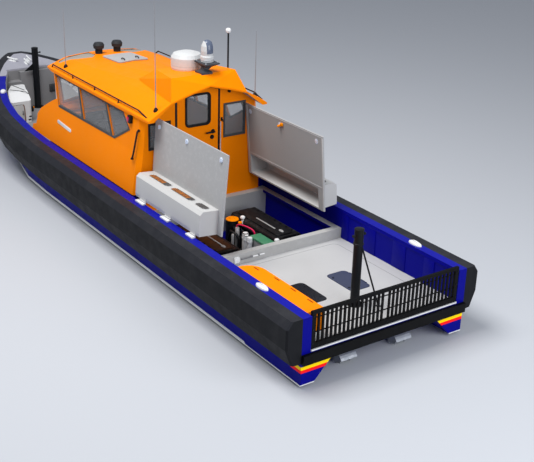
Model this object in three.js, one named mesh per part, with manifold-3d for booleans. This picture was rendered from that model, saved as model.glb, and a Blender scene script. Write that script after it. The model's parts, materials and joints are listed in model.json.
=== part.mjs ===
// Inshore rescue boat: decked hull with a fender collar, hollow wheelhouse, open engine bay with two
// raised lids, aft working deck and twin waterjets. Millimetres, +X forward, +Y to port, +Z up.
// The origin is at the waterline, on the centre line, below the transom.
import * as THREE from 'three';
import { mergeVertices } from 'three/addons/utils/BufferGeometryUtils.js';
import { ConvexGeometry } from 'three/addons/geometries/ConvexGeometry.js';
import Module from 'manifold-3d';

const wasm = await Module();
wasm.setup();

// Driving dimensions

// Clearance of fixed and of moving pieces, and facets round a bar.
const GAP = 0.3;
const RUN = 6;
const ROUND = 20;

const HULL = {
  halfBeam: 1376, gunwale: 990, bowStart: 8600, bowRun: 3655, bowPower: 2.2, bowRoot: 0.82,
  sheerStart: 7740, sheerRun: 4300, sheerRise: 465, capWidth: 138, capDepth: 30, blueCapEnd: 11180,
  knuckleDrop: 640,
};
const DECK = { top: 525, thick: 25, foredeck: 545, soleTop: 320, hatchAft: 965, hatchFore: 1580 };
const BAY = { aft: 2520, fore: 4665, wall: 103, top: 688, floor: 100, halfWidth: 1190 };
const WELL = { aft: 7830, fore: 11440, skin: 14 };
const JET = {
  bulkhead: 770, halfTop: 896, halfBottom: 1215, roof: 334, spacing: 475, axisZ: 10,
  steerX: 350, bucketX: 300,
};
// Columns: x, half breadth and height of the chine, height of the keel.
const STATIONS = [
  [0, 1376, 42, -600],
  [JET.bulkhead, 1376, 42, -600],
  [4000, 1376, 42, -600],
  [HULL.sheerStart, 1376, 45, -600],
  [HULL.bowStart, 1350, 50, -590],
  [9300, 1215, 85, -560],
  [9900, 1020, 145, -500],
  [10450, 790, 225, -390],
  [10950, 545, 330, -210],
  [HULL.blueCapEnd, 425, 390, -95],
  [11400, 300, 450, 40],
  [11750, 110, 560, 420],
  [12000, 30, 690, 600],
  [12150, 18, 790, 700],
  [12200, 14, 825, 740],
];
const BOW_TIP = STATIONS.at(-1)[0];
const LAST_BOTTOM = 12;
const FENDER = { width: 238, depth: 630, topFlat: 165 };
const CABIN = { aft: 4618, fore: 7780, wall: 38, sill: 1660, eave: 2208 };
const CORNER = { post: 100, bevel: 75 };
const DOOR = {
  port: 438, starboard: -300, bottom: 817, thick: 40, hingeX: 4612,
  top: [[438, 2490], [200, 2508], [100, 2540], [0, 2555], [-150, 2545], [-300, 2515]],
};
const LID = {
  hingeY: 1241, hingeZ: 1027, width: 1213, drop: 309, sheet: 24, aft: 2556, fore: 4590, open: 85.2,
  boxWidth: 378, boxAft: 2666, boxFore: 4540, edge: 10,
};
// Columns: start and end of each hinge along the boat.
const LID_HINGES = [[2755, 2885], [3450, 3620], [4205, 4390]];
const ROOF_HATCH = { aft: 6830, fore: 7510, half: 285, thick: 18 };
const LOCKER = { aft: 190, fore: 1745, inner: 912, outer: 1226, top: 905, lid: 25, corner: 110 };
const GRILLE = {
  half: 1232, frame: 60, low: 531, high: 1046, foot: 70, head: 44, bar: 31, opening: 82,
  portBars: 16, starboardBars: 17, rails: [0.4, 0.79],
};
const AFT_POST = { x: 671, top: 1625, radius: 63, pin: 1540 };
const BOW_POST = { x: 11240, top: 1806, radius: 67, pin: 1703 };
// Step at the fore end of the well: a high block and a lower shelf to port of it.
const STEP = { aft: 11311, top: 1310, starboard: -500, port: 310, shelfAft: 11250, shelfTop: 1135 };
// Columns: x, then inner and outer y of a bow locker's plan.
const BOW_LOCKER = [[10320, 510, 960], [10750, 440, 825], [11130, 320, 605]];
const BOW_LOCKER_TOP = [[10300, 985], [10370, 1002], [10660, 1112]];
const FAIRLEAD = { x: 969, length: 190, width: 90, height: 52 };
// Columns: x, then [y, z] of the eave, of the camber's two breaks, and the centre's height.
const ROOF = [
  [4369, [1075, 2236], [688, 2468], [380, 2563], 2655],
  [4558, [1092, 2253], [688, 2468], [380, 2560], 2648],
  [6880, [1092, 2262], [690, 2436], [380, 2476], 2496],
  [7870, [1084, 2262], [731, 2396], [380, 2428], 2436],
  [8170, [1032, 2236], [688, 2362], [380, 2392], 2404],
];
// Corners of the raised aft housing to port: x, y, z.
const POD = [
  [4371, 686, 2466], [4371, 380, 2561], [4371, 0, 2652], [4558, 576, 2795], [5272, 447, 2760],
  [5700, 520, 2520], [4600, 686, 2400], [5700, 380, 2450],
];
const ROOF_SKIN = 24;
// Wheelhouse side: y and z of its foot, sill and eave, then x and z round its fore end.
const SIDE_FACE = [[1216, 990], [1116, CABIN.sill], [1066, CABIN.eave + GAP]];
const SIDE_FRONT = [
  [7815, 2400], [7815, 2180], [7650, 1755], [7695, 1765], [7865, 1690], [8140, 1542], [8290, 1455],
  [8365, 1380], [8420, 1325], [8428, 1220], [8445, 1125], [8580, 1090], [8600, 900], [9000, 900],
  [9000, 2400],
];
const SIDE_WINDOW = [[7772, 2194], [7562, 1655], [5440, 1682], [4945, 1958], [5185, 2180]];
// Bar widths of the side window's frame, each for the edge that starts at the corner above.
const SIDE_BARS = [15, 34, 34, 30, 15];
const MULLIONS = [[6810, 6546], [5807, 5475]];
// Windscreen: three flat panels that lean forward at the top, over a straight lower bulkhead.
const SCREEN = { knuckle: [7830, 520], rake: [190, -60], sweep: 230 / 560, side: 1300, thick: 40 };
const SKYLIGHT = [
  [8120, 250], [8110, 640], [8080, 850], [7960, 900], [7740, 640], [7630, 400], [7800, 270],
];
// Columns: x, y of each foot of the rail along the eave.
const RAIL_FEET = [[7880, 1045], [7060, 1055], [6230, 1055], [5390, 1055]];
const RAIL_HEIGHT = 52;
const SEARCHLIGHT = {
  x: 7840, y: 180, profile: [[0, 0], [64, 0], [60, 78], [92, 92], [100, 150], [76, 190], [0, 200]],
};
// Columns: name, x, y, length of each whip aerial.
const WHIPS = [
  ['whip_fore', 7619, 925, 1000],
  ['whip_aft_port', 4478, 892, 2400],
  ['whip_aft_starboard', 4600, -995, 1050],
];
const RADOME = {
  x: 5070, z: 2740, profile: [[0, 0], [235, 0], [252, 60], [252, 220], [215, 272], [120, 300], [0, 306]],
};
const CAMERA = { x: 4640, y: -110, seat: 2955 };
const AERIAL = { x: 4750, y: -565, top: 3360 };
const SEAT_ROWS = [6500, 5500];

// Finishes

const finish = (color, roughness, metalness = 0) => (
  new THREE.MeshStandardMaterial({ color, roughness, metalness })
);
const BLUE = finish('#12129a', 0.35);
const ORANGE = finish('#ff8800', 0.4);
const WHITE = finish('#eef0f0', 0.35);
const PALE = finish('#cfd0cf', 0.5);
const GREY = finish('#9b9b9c', 0.5);
const LILAC = finish('#a9aac2', 0.55);
const DARK = finish('#3a4044', 0.5);
const BLACK = finish('#101114', 0.45);
const RUBBER = finish('#26292d', 0.75);
const BOTTOM = finish('#15161a', 0.6);
const ALLOY = finish('#7f858c', 0.45, 0.8);
const TINTED = finish('#77797c', 0.1);
const SMOKED = finish('#2c303c', 0.15);
const GREEN = finish('#3f8560', 0.5);
const BROWN = finish('#2a150c', 0.5);
const FABRIC = finish('#5f6063', 0.8);

// Solids

const point = (x, y, z) => new THREE.Vector3(x, y, z);

const solidFrom = (geometry) => new wasm.Manifold(new wasm.Mesh({
  numProp: 3,
  vertProperties: new Float32Array(geometry.attributes.position.array),
  triVerts: new Uint32Array(geometry.index.array),
}));

function toSolid(geometry) {
  const plain = geometry.clone();
  plain.deleteAttribute('normal');
  plain.deleteAttribute('uv');
  return solidFrom(mergeVertices(plain, 1e-3));
}

function toGeometry(solid) {
  const data = solid.getMesh();
  const geometry = new THREE.BufferGeometry();
  geometry.setAttribute('position', new THREE.BufferAttribute(new Float32Array(data.vertProperties), 3));
  geometry.setIndex(new THREE.BufferAttribute(new Uint32Array(data.triVerts), 1));
  geometry.computeVertexNormals();
  return geometry;
}

// Solid moved by a matrix, with its faces turned outwards again where that mirrors them.
function moved(solid, matrix) {
  const geometry = toGeometry(solid);
  geometry.applyMatrix4(matrix);
  if (matrix.determinant() < 0) {
    geometry.index.array.reverse();
  }
  return solidFrom(geometry);
}
const MIRROR = new THREE.Matrix4().makeScale(1, -1, 1);
const shifted = (solid, x, y, z) => moved(solid, new THREE.Matrix4().makeTranslation(x, y, z));
const mirrorY = (solid) => moved(solid, MIRROR);
const both = (solid) => solid.add(mirrorY(solid));
const join = (solids) => solids.reduce((sum, solid) => sum.add(solid));
const cut = (solid, tools) => tools.reduce((rest, tool) => rest.subtract(tool), solid);

// Solid through closed rings of like point counts, flat at both ends.
function loft(rings) {
  const count = rings[0].length;
  const positions = rings.flat().flatMap((p) => [p.x, p.y, p.z]);
  const index = [];
  for (let r = 0; r + 1 < rings.length; r += 1) {
    for (let k = 0; k < count; k += 1) {
      const a = r * count + k;
      const b = r * count + ((k + 1) % count);
      index.push(a, b, b + count, a, b + count, a + count);
    }
  }
  const ends = [[rings[0], 0, true], [rings.at(-1), (rings.length - 1) * count, false]];
  ends.forEach(([ring, first, reversed]) => {
    capTriangles(ring).forEach(([a, b, c]) => {
      index.push(first + a, first + (reversed ? c : b), first + (reversed ? b : c));
    });
  });
  const geometry = new THREE.BufferGeometry();
  geometry.setAttribute('position', new THREE.Float32BufferAttribute(positions, 3));
  geometry.setIndex(signedVolume(positions, index) < 0 ? index.reverse() : index);
  return toSolid(geometry);
}

// Triangles over one flat ring, wound in the ring's own order.
function capTriangles(ring) {
  const normal = new THREE.Vector3();
  ring.forEach((p, k) => normal.add(p.clone().cross(ring[(k + 1) % ring.length])));
  normal.normalize();
  const side = Math.abs(normal.z) < 0.9 ? point(0, 0, 1) : point(1, 0, 0);
  const across = side.clone().cross(normal).normalize();
  const up = normal.clone().cross(across);
  const flat = ring.map((p) => new THREE.Vector2(p.dot(across), p.dot(up)));
  return THREE.ShapeUtils.triangulateShape(flat, []).map(([a, b, c]) => {
    const turn = flat[b].clone().sub(flat[a]).cross(flat[c].clone().sub(flat[a]));
    return turn > 0 ? [a, b, c] : [a, c, b];
  });
}

function signedVolume(positions, index) {
  const at = (i) => point(positions[3 * i], positions[3 * i + 1], positions[3 * i + 2]);
  let sum = 0;
  for (let k = 0; k < index.length; k += 3) {
    sum += at(index[k]).dot(at(index[k + 1]).cross(at(index[k + 2])));
  }
  return sum;
}

// Straight extrusion of an outline drawn on one of the three main planes.
const PLANES = {
  xy: new THREE.Matrix4(),
  yz: new THREE.Matrix4().makeBasis(point(0, 1, 0), point(0, 0, 1), point(1, 0, 0)),
  xz: new THREE.Matrix4().makeBasis(point(1, 0, 0), point(0, 0, 1), point(0, -1, 0)),
};
function prism(plane, outline, from, to, holes = []) {
  const shape = new THREE.Shape(outline.map(([a, b]) => new THREE.Vector2(a, b)));
  holes.forEach((hole) => shape.holes.push(new THREE.Path(hole.map(([a, b]) => new THREE.Vector2(a, b)))));
  const geometry = new THREE.ExtrudeGeometry(shape, { depth: to - from, bevelEnabled: false });
  geometry.translate(0, 0, plane === 'xz' ? -to : from);
  geometry.applyMatrix4(PLANES[plane]);
  return toSolid(geometry);
}

function box(x0, x1, y0, y1, z0, z1) {
  const geometry = new THREE.BoxGeometry(x1 - x0, y1 - y0, z1 - z0);
  geometry.translate((x0 + x1) / 2, (y0 + y1) / 2, (z0 + z1) / 2);
  return toSolid(geometry);
}

// Round bar from one point to another, with a second radius for a taper.
function bar(from, to, radius, sides = ROUND, endRadius = radius) {
  const [a, b] = [point(...from), point(...to)];
  const along = b.clone().sub(a);
  const geometry = new THREE.CylinderGeometry(endRadius, radius, along.length(), sides);
  const turn = new THREE.Quaternion().setFromUnitVectors(point(0, 1, 0), along.clone().normalize());
  geometry.applyQuaternion(turn);
  geometry.translate(...a.add(b).multiplyScalar(0.5).toArray());
  return toSolid(geometry);
}

// Bent round bar through a list of points, with a ball at each bend.
function bentBar(points, radius, sides = 8) {
  const parts = points.slice(1).map((p, k) => bar(points[k], p, radius, sides));
  points.slice(1, -1).forEach((p) => {
    const ball = new THREE.SphereGeometry(radius * 1.12, sides, 5);
    ball.translate(...p);
    parts.push(toSolid(ball));
  });
  return join(parts);
}

function dome(x, y, z, profile, sides = 24) {
  const geometry = new THREE.LatheGeometry(profile.map(([r, h]) => new THREE.Vector2(r, h)), sides);
  geometry.rotateX(Math.PI / 2);
  geometry.translate(x, y, z);
  return toSolid(geometry);
}

// Outline with its corners rounded by arcs, as [a, b] pairs.
function rounded(corners, radius, steps = 4) {
  return corners.flatMap((corner, k) => {
    const at = new THREE.Vector2(...corner);
    const before = new THREE.Vector2(...corners.at(k - 1)).sub(at).normalize();
    const after = new THREE.Vector2(...corners[(k + 1) % corners.length]).sub(at).normalize();
    const half = Math.acos(THREE.MathUtils.clamp(before.dot(after), -1, 1)) / 2;
    const centre = before.clone().add(after).normalize().multiplyScalar(radius / Math.sin(half)).add(at);
    const first = before.clone().multiplyScalar(radius / Math.tan(half)).add(at).sub(centre);
    const last = after.clone().multiplyScalar(radius / Math.tan(half)).add(at).sub(centre);
    const turn = Math.atan2(first.cross(last), first.dot(last));
    return Array.from({ length: steps + 1 }, (_, s) => {
      const p = first.clone().rotateAround(new THREE.Vector2(), (turn * s) / steps).add(centre);
      return [p.x, p.y];
    });
  });
}
const rectangle = (a0, a1, b0, b1) => [[a0, b0], [a1, b0], [a1, b1], [a0, b1]];
// Outline moved inward, by one distance all round or by one for each edge.
function shrink(outline, inset) {
  const area = outline.reduce((sum, [a, b], k) => {
    const [p, q] = outline[(k + 1) % outline.length];
    return sum + a * q - p * b;
  }, 0);
  const turn = Math.sign(area);
  const widths = outline.map((_, k) => turn * (inset[k] ?? inset));
  return outline.map((corner, k) => {
    const edge = (from, to) => new THREE.Vector2(to[0] - from[0], to[1] - from[1]).normalize();
    const before = edge(outline.at(k - 1), corner);
    const after = edge(corner, outline[(k + 1) % outline.length]);
    const [near, next] = [widths.at(k - 1), widths[k]];
    const slant = before.cross(after);
    return [
      corner[0] + (after.x * near - before.x * next) / slant,
      corner[1] + (after.y * near - before.y * next) / slant,
    ];
  });
}
const lerp = THREE.MathUtils.lerp;

// Scene graph

const boat = new THREE.Group();
function piece(name, solid, material, parent = boat) {
  const mesh = new THREE.Mesh(toGeometry(solid), material);
  mesh.name = name;
  parent.add(mesh);
  return mesh;
}
// The same solid on both sides of the boat.
function pair(name, solid, material) {
  piece(`${name}_port`, solid, material);
  piece(`${name}_starboard`, mirrorY(solid), material);
}

// Hull form

function halfBeamAt(x) {
  const t = THREE.MathUtils.clamp((x - HULL.bowStart) / HULL.bowRun, 0, 1);
  return HULL.halfBeam * (1 - t ** HULL.bowPower) ** HULL.bowRoot;
}
function sheerAt(x) {
  return HULL.gunwale + HULL.sheerRise * (Math.max(0, x - HULL.sheerStart) / HULL.sheerRun) ** 1.5;
}

function buildHull() {
  const bottomRings = STATIONS.slice(1, LAST_BOTTOM).map(([x, half, chine, keel]) => [
    point(x, -half, chine - GAP), point(x, 0, keel), point(x, half, chine - GAP),
  ]);
  piece('hull_bottom', loft(bottomRings), BOTTOM);

  const sideRings = STATIONS.map(([x, half, chine]) => {
    const top = sheerAt(x) - HULL.capDepth;
    const knuckle = sheerAt(x) - HULL.knuckleDrop;
    const edge = halfBeamAt(x);
    return [
      point(x, -half, chine), point(x, -edge, knuckle), point(x, -edge, top),
      point(x, edge, top), point(x, edge, knuckle), point(x, half, chine),
    ];
  });
  const inner = HULL.halfBeam - HULL.capWidth;
  const high = 3000;
  const jetBay = [
    [-JET.halfBottom, -10], [-JET.halfTop, JET.roof], [JET.halfTop, JET.roof], [JET.halfBottom, -10],
  ];
  const topsides = cut(loft(sideRings), [
    box(-50, BAY.fore, -inner, inner, DECK.top - DECK.thick, high),
    box(BAY.aft + BAY.wall, BAY.fore - BAY.wall - 60, -BAY.halfWidth, BAY.halfWidth, BAY.floor, high),
    box(CABIN.aft + 82, CABIN.fore, -BAY.halfWidth, BAY.halfWidth, DECK.soleTop - 20, high),
    prism('xy', wellOutline(0), DECK.foredeck - WELL.skin, high),
    prism('yz', jetBay, -50, JET.bulkhead),
  ]);
  const seatTop = LID.hingeZ - 12 - GAP;
  const seats = LID_HINGES.map(([aft, fore]) => box(aft, fore, 1239, 1290, HULL.gunwale - 5, seatTop));
  piece('hull_topsides', topsides.add(both(join([gunwaleCap(), fairlead(), ...seats]))), BLUE);
  buildBowDeck();
  buildFenders();
  piece('transom_band', box(-52, -GAP, -HULL.halfBeam, HULL.halfBeam, 350, 484), RUBBER);
}

// Plan points of the gunwale's outer edge to port, and their outward mitre directions.
function gunwalePath(from, to) {
  const path = STATIONS.map(([x]) => [x, halfBeamAt(x)]).filter(([x]) => x > from && x < to);
  path.unshift([from, halfBeamAt(from)]);
  path.push([to, halfBeamAt(to)]);
  return path;
}
function mitres(path) {
  const normals = path.slice(1).map(([x, y], k) => (
    new THREE.Vector2(-(y - path[k][1]), x - path[k][0]).normalize()));
  return path.map((_, k) => {
    const a = normals[Math.max(0, k - 1)];
    const b = normals[Math.min(normals.length - 1, k)];
    const sum = a.clone().add(b);
    return sum.multiplyScalar(2 / sum.lengthSq());
  });
}
// Sweep along the gunwale of a section given as [outward, drop from the sheer] pairs.
function sweep(path, section, sections = {}) {
  const out = mitres(path);
  return loft(path.map(([x, y], k) => (sections[k] ?? section).map(([o, dz]) => (
    point(x + out[k].x * o, y + out[k].y * o, sheerAt(x) + dz)))));
}

function gunwaleCap() {
  const seat = -HULL.capDepth - 1;
  const section = [[-HULL.capWidth, seat], [0, seat], [0, 0], [-HULL.capWidth, 0]];
  return sweep(gunwalePath(0, HULL.blueCapEnd), section);
}
function buildBowDeck() {
  const deckXs = [HULL.blueCapEnd + GAP, ...STATIONS.map(([x]) => x).filter((x) => x > HULL.blueCapEnd)];
  const deck = loft(deckXs.map((x) => {
    const [half, top] = [halfBeamAt(x), sheerAt(x)];
    const low = top - HULL.capDepth + GAP;
    return [point(x, -half, low), point(x, half, low), point(x, half, top), point(x, -half, top)];
  }));
  piece('bow_deck', cut(deck, [prism('xy', wellOutline(-GAP), 0, 3000)]), LILAC);
}

// Plan of the open foredeck well, shrunk by an inset.
function wellOutline(inset) {
  const width = HULL.capWidth + inset;
  const path = gunwalePath(WELL.aft + inset, WELL.fore - inset);
  const out = mitres(path);
  const port = path.map(([x, y], k) => [x - out[k].x * width, y - out[k].y * width]);
  port[port.length - 1][0] = WELL.fore - inset;
  port[0][0] = WELL.aft + inset;
  return [...port, ...port.map(([x, y]) => [x, -y]).reverse()];
}

function buildFenders() {
  const path = [...gunwalePath(0, BOW_TIP), [BOW_TIP, GAP / 2]];
  path.splice(1, 0, [25, HULL.halfBeam]);
  const body = [
    [GAP, 0], [FENDER.topFlat, 0], [FENDER.width, -100],
    [FENDER.width, -385], [150, -620], [GAP, -FENDER.depth],
  ];
  const end = body.map(([o, dz]) => [o > 1 ? o - 22 : o, dz]);
  const port = sweep(path, body, { 0: end });
  pair('fender', port, RUBBER);
}

// Aft deck, grille and towing posts

function buildAftDeck() {
  const inner = HULL.halfBeam - HULL.capWidth - GAP;
  const holes = [1, -1].map((side) => rounded(deckHatchOutline(side, 0), 75));
  const outline = rectangle(-8, BAY.aft - GAP, -inner, inner);
  const plate = prism('xy', outline, DECK.top - DECK.thick + GAP, DECK.top, holes);
  piece('aft_deck', plate, PALE);
  [['deck_hatch_port', 1], ['deck_hatch_starboard', -1]].forEach(([name, side]) => {
    const panel = prism('xy', rounded(deckHatchOutline(side, RUN), 70), DECK.top - 17, DECK.top + 3);
    const hinge = bar([1080, side * 557, DECK.top + 5], [1460, side * 557, DECK.top + 5], 5.5, 12);
    piece(name, panel.add(hinge), SMOKED);
  });
}
function deckHatchOutline(side, inset) {
  const [near, far] = side > 0 ? [200, 560] : [-560, -200];
  return rectangle(DECK.hatchAft + inset, DECK.hatchFore - inset, near + inset, far - inset);
}

function buildGrille() {
  const { half, low, high, portBars, starboardBars } = GRILLE;
  const inner = half - GRILLE.frame;
  const pitch = (2 * inner - GRILLE.opening) / (portBars + starboardBars);
  const bars = (count, first) => Array.from({ length: count }, (_, k) => (
    box(12, 32, first - k * pitch, first - k * pitch + GRILLE.bar, low, high)));
  const rails = [
    box(4, 44, -half, half, high - GRILLE.head, high), box(4, 44, -half, half, low - 5.5, low + GRILLE.foot),
    box(4, 44, inner, half, low - 5.5, high), box(4, 44, -half, -inner, low - 5.5, high),
    ...bars(portBars, inner - pitch),
    ...bars(starboardBars, -inner + starboardBars * pitch - GRILLE.bar),
  ];
  GRILLE.rails.forEach((t) => {
    const z = lerp(low, high, t);
    rails.push(box(30, 42, -half + 10, half - 10, z - 6, z + 6));
  });
  piece('transom_grille', join(rails), BLACK);
}

function buildPosts() {
  const seat = DECK.top + GAP;
  const aft = AFT_POST;
  const aftPost = join([
    bar([aft.x, 0, seat], [aft.x, 0, aft.top], aft.radius, 24),
    bar([aft.x, -95, aft.pin], [aft.x, 95, aft.pin], 11, 10),
    bar([aft.x, 0, seat], [aft.x, 0, DECK.top + 14], 110, 24),
    bar([aft.x - 31, -20, 1420], [450, -230, DECK.top + 12], 12, 10),
    box(425, 475, -255, -205, seat, DECK.top + 16),
  ]);
  piece('aft_towing_post', aftPost, BLACK);
  const bow = BOW_POST;
  const deck = DECK.foredeck;
  const gusset = prism('yz', [[0, 1340], [250, 1340], [65, 1478], [0, 1478]], bow.x - 8, bow.x + 8);
  const flange = bar([bow.x, 0, deck + GAP], [bow.x, 0, deck + 14], 115, 24);
  const bowPost = join([
    bar([bow.x, 0, deck + GAP], [bow.x, 0, bow.top], bow.radius, 24),
    bar([bow.x, -121, bow.pin], [bow.x, 121, bow.pin], 12, 10), gusset,
    cut(flange, [box(STEP.aft - 1, STEP.aft + 100, -200, 200, 0, 1000)]),
  ]);
  piece('bow_towing_post', bowPost, BLACK);
}

function fairlead() {
  const [x, y] = [FAIRLEAD.x, HULL.halfBeam - 60];
  const oval = new THREE.SphereGeometry(1, 20, 10);
  oval.scale(FAIRLEAD.length / 2, FAIRLEAD.width / 2, FAIRLEAD.height / 2);
  oval.translate(x, y, HULL.gunwale + 12);
  return cut(toSolid(oval), [box(x - 200, x + 200, y - 200, y + 200, 0, HULL.gunwale - 5)]);
}

// Side locker on the aft deck, with its lid hinged at the bulwark

function buildSideLocker() {
  const sweepIn = LOCKER.corner * 2.4;
  const plan = (grow) => {
    const [a, f, i, o] = [LOCKER.aft + grow, LOCKER.fore - grow, LOCKER.inner + grow, LOCKER.outer];
    const arc = Array.from({ length: 7 }, (_, k) => {
      const t = (k * Math.PI) / 12;
      return [f - sweepIn * (1 - Math.sin(t)), i + sweepIn * (1 - Math.cos(t))];
    });
    return [[a, i], ...arc, [f, o], [a, o]];
  };
  piece('side_locker', prism('xy', plan(0), DECK.top + GAP, LOCKER.top), ORANGE);
  const lid = prism('xy', plan(-4), LOCKER.top + RUN, LOCKER.top + RUN + LOCKER.lid);
  piece('side_locker_lid', lid.add(bar([400, 1228, 940], [1600, 1228, 940], 9.7, 16)), ORANGE);
}

// Engine bay, engines and lids

function buildEngineBay() {
  const inner = HULL.halfBeam - HULL.capWidth - GAP;
  const floor = DECK.top - DECK.thick + GAP;
  const forward = BAY.fore - BAY.wall - 60;
  const frame = cut(box(BAY.aft, BAY.fore - GAP, -inner, inner, floor, BAY.top), [
    box(BAY.aft + BAY.wall, forward - 12, -BAY.halfWidth + 60, BAY.halfWidth - 60, 0, 2000),
    box(BAY.aft + BAY.wall, forward - 12, -BAY.halfWidth, BAY.halfWidth, 0, BAY.top - 45),
  ]);
  const wide = BAY.halfWidth - 2;
  const lining = box(forward - 12, forward - GAP, -wide, wide, BAY.floor + GAP, BAY.top - 46);
  piece('engine_coaming', frame.add(lining), PALE);

  const bed = BAY.floor + GAP;
  const engine = join([
    prism('yz', rounded(rectangle(330, 830, 300, 530), 50), 2990, 4240),
    box(3010, 4180, 380, 780, bed, 320), box(2780, 3010, 470, 690, bed, 420),
  ]);
  piece('engines', join([both(engine), box(3480, 3800, -400, 400, bed + 30, bed + 110)]), BROWN);
  const services = join([
    box(2850, 4110, -240, -160, bed, bed + 22), box(2850, 3270, -235, -52, bed, 535),
    box(3240, 3430, -160, 60, bed, 242), bar([3365, -30, 240], [3365, -30, 565], 48, 16),
    bar([3285, 5, 240], [3285, 5, 560], 40, 16), bar([4000, -200, bed], [4000, -200, 525], 105, 20),
  ]);
  piece('engine_services', services, GREEN);
}

// Lid in its closed place: y and z from the hinge line, y negative inboard.
function lidSolid() {
  const [low, edge, skin] = [-LID.drop, LID.edge, 24];
  const plate = prism('yz', rectangle(-LID.width, -edge, low - LID.sheet, low), LID.aft, LID.fore);
  const outside = [
    [-edge, low - 1], [-edge, -8], [-60, 0], [-LID.boxWidth + 50, 0], [-LID.boxWidth, -50],
    [-LID.boxWidth, low - 1],
  ];
  const inside = [
    [-edge - skin, low - 60], [-edge - skin, -36], [-66, -skin], [-LID.boxWidth + 60, -skin],
    [-LID.boxWidth + skin, -62], [-LID.boxWidth + skin, low - 60],
  ];
  const housing = prism('yz', outside, LID.boxAft, LID.boxFore);
  const shell = join([plate, housing]).subtract(prism('yz', inside, LID.boxAft + skin, LID.boxFore - skin));
  const hinges = LID_HINGES.flatMap(([aft, fore]) => [
    bar([aft, 0, 0], [fore, 0, 0], 12, 16), box(aft, fore, -60, 0, -8, -1),
  ]);
  return join([shell, ...hinges]);
}
function buildLids() {
  const open = new THREE.Matrix4().makeRotationX(THREE.MathUtils.degToRad(-LID.open));
  open.setPosition(0, LID.hingeY, LID.hingeZ);
  pair('hatch_lid', moved(lidSolid(), open), GREY);
}

// Foredeck well and its lockers

function buildForedeck() {
  const topRings = STATIONS.filter(([x]) => x >= HULL.sheerStart).map(([x]) => {
    const [half, top] = [halfBeamAt(x), sheerAt(x) - HULL.capDepth];
    return [point(x, -half, 0), point(x, half, 0), point(x, half, top), point(x, -half, top)];
  });
  const shell = cut(prism('xy', wellOutline(GAP), DECK.foredeck - WELL.skin + GAP, 2000), [
    prism('xy', wellOutline(WELL.skin), DECK.foredeck, 2100),
  ]).intersect(loft(topRings));
  piece('foredeck_liner', shell, GREY);
  const floor = DECK.foredeck + GAP;
  const steps = join([
    box(STEP.aft, WELL.fore, STEP.starboard, STEP.port, floor, STEP.top),
    box(STEP.shelfAft, WELL.fore, STEP.port - 1, 1000, floor, STEP.shelfTop),
  ]);
  piece('bow_step', steps.intersect(prism('xy', wellOutline(WELL.skin + GAP), 0, 3000)), GREY);
  const inside = BOW_LOCKER.map(([x, y]) => [x, y]);
  const outside = BOW_LOCKER.map(([x, , y]) => [x, y]).reverse();
  const body = prism('xy', rounded([...inside, ...outside], 60, 3), floor, 1110);
  const slope = prism('xz', [...BOW_LOCKER_TOP, [10660, 1200], [10300, 1200]], 0, 1500);
  pair('bow_locker', cut(body, [slope]), WHITE);
}

// Wheelhouse

// Loft of a port half that starts and ends on the centre line, with its mirror image.
const mirroredLoft = (section) => both(loft(ROOF.map((row) => (
  section(row).map(([y, z]) => point(row[0], y, z))))));

function roofShell() {
  return mirroredLoft(([, eave, foot, top, centre]) => [
    [0, centre], top, foot, eave, [eave[0], CABIN.eave], [eave[0] - 84, CABIN.eave],
    [foot[0] - 6, foot[1] - ROOF_SKIN], [top[0] - 14, top[1] - ROOF_SKIN], [0, centre - ROOF_SKIN],
  ]);
}
// Everything below the roof's outer face when that is moved up by a distance.
function roofBody(raise) {
  return mirroredLoft(([, eave, foot, top, centre]) => [
    ...[[0, centre], top, foot, eave].map(([y, z]) => [y, z + raise]), [eave[0], 1500], [0, 1500],
  ]);
}
const pod = (raise = 0) => toSolid(new ConvexGeometry(POD.flatMap(([x, y, z]) => [
  point(x, y, z + raise), point(x, -y, z + raise),
])));
const roofDeck = (raise) => roofBody(raise).add(pod(raise));

// Space below the roof and between the side panels.
function cabinEnvelope(wall = CABIN.wall + GAP) {
  const under = ROOF_SKIN + 2 * GAP;
  return mirroredLoft(([, eave, foot, top, centre]) => [
    [0, centre - under], [top[0] - 14, top[1] - under], [foot[0] - 6, foot[1] - under],
    [eave[0] - 84 - GAP, CABIN.eave + GAP], ...SIDE_FACE.map(([y, z]) => [y - wall, z]).reverse(),
    [1216 - wall, 600], [0, 600],
  ]);
}

function sidePanel() {
  const strip = (grow, thick) => {
    const face = [[1216, 990.6], SIDE_FACE[1], [1066, CABIN.eave - GAP]];
    const inside = face.map(([y, z]) => [y - thick + grow, z]).reverse();
    return [...face.map(([y, z]) => [y + grow, z]), ...inside];
  };
  const post = prism('yz', strip(0, CORNER.post), CABIN.aft, CABIN.aft + CORNER.post);
  const bevel = loft([[1216, 990], SIDE_FACE[1], [1066, CABIN.eave]].map(([y, z]) => [
    point(CABIN.aft - 5, y + 5, z), point(CABIN.aft - 5, y - CORNER.bevel, z),
    point(CABIN.aft + CORNER.bevel, y + 5, z),
  ]));
  const whole = prism('yz', strip(0, CABIN.wall), CABIN.aft, 8600).add(post);
  const panel = cut(whole, [prism('xz', SIDE_FRONT, 900, 1300), bevel]);
  const frameBand = prism('yz', strip(6, CABIN.wall + 6), CABIN.aft, 8600);
  const opening = prism('xz', SIDE_WINDOW, 900, 1300);
  return { panel, frameBand, opening };
}
function windowBar([topX, bottomX], width) {
  return prism('xz', [
    [topX - width, 2180], [topX + width, 2180], [bottomX + width, 1600], [bottomX - width, 1600],
  ], 900, 1300);
}
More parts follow.
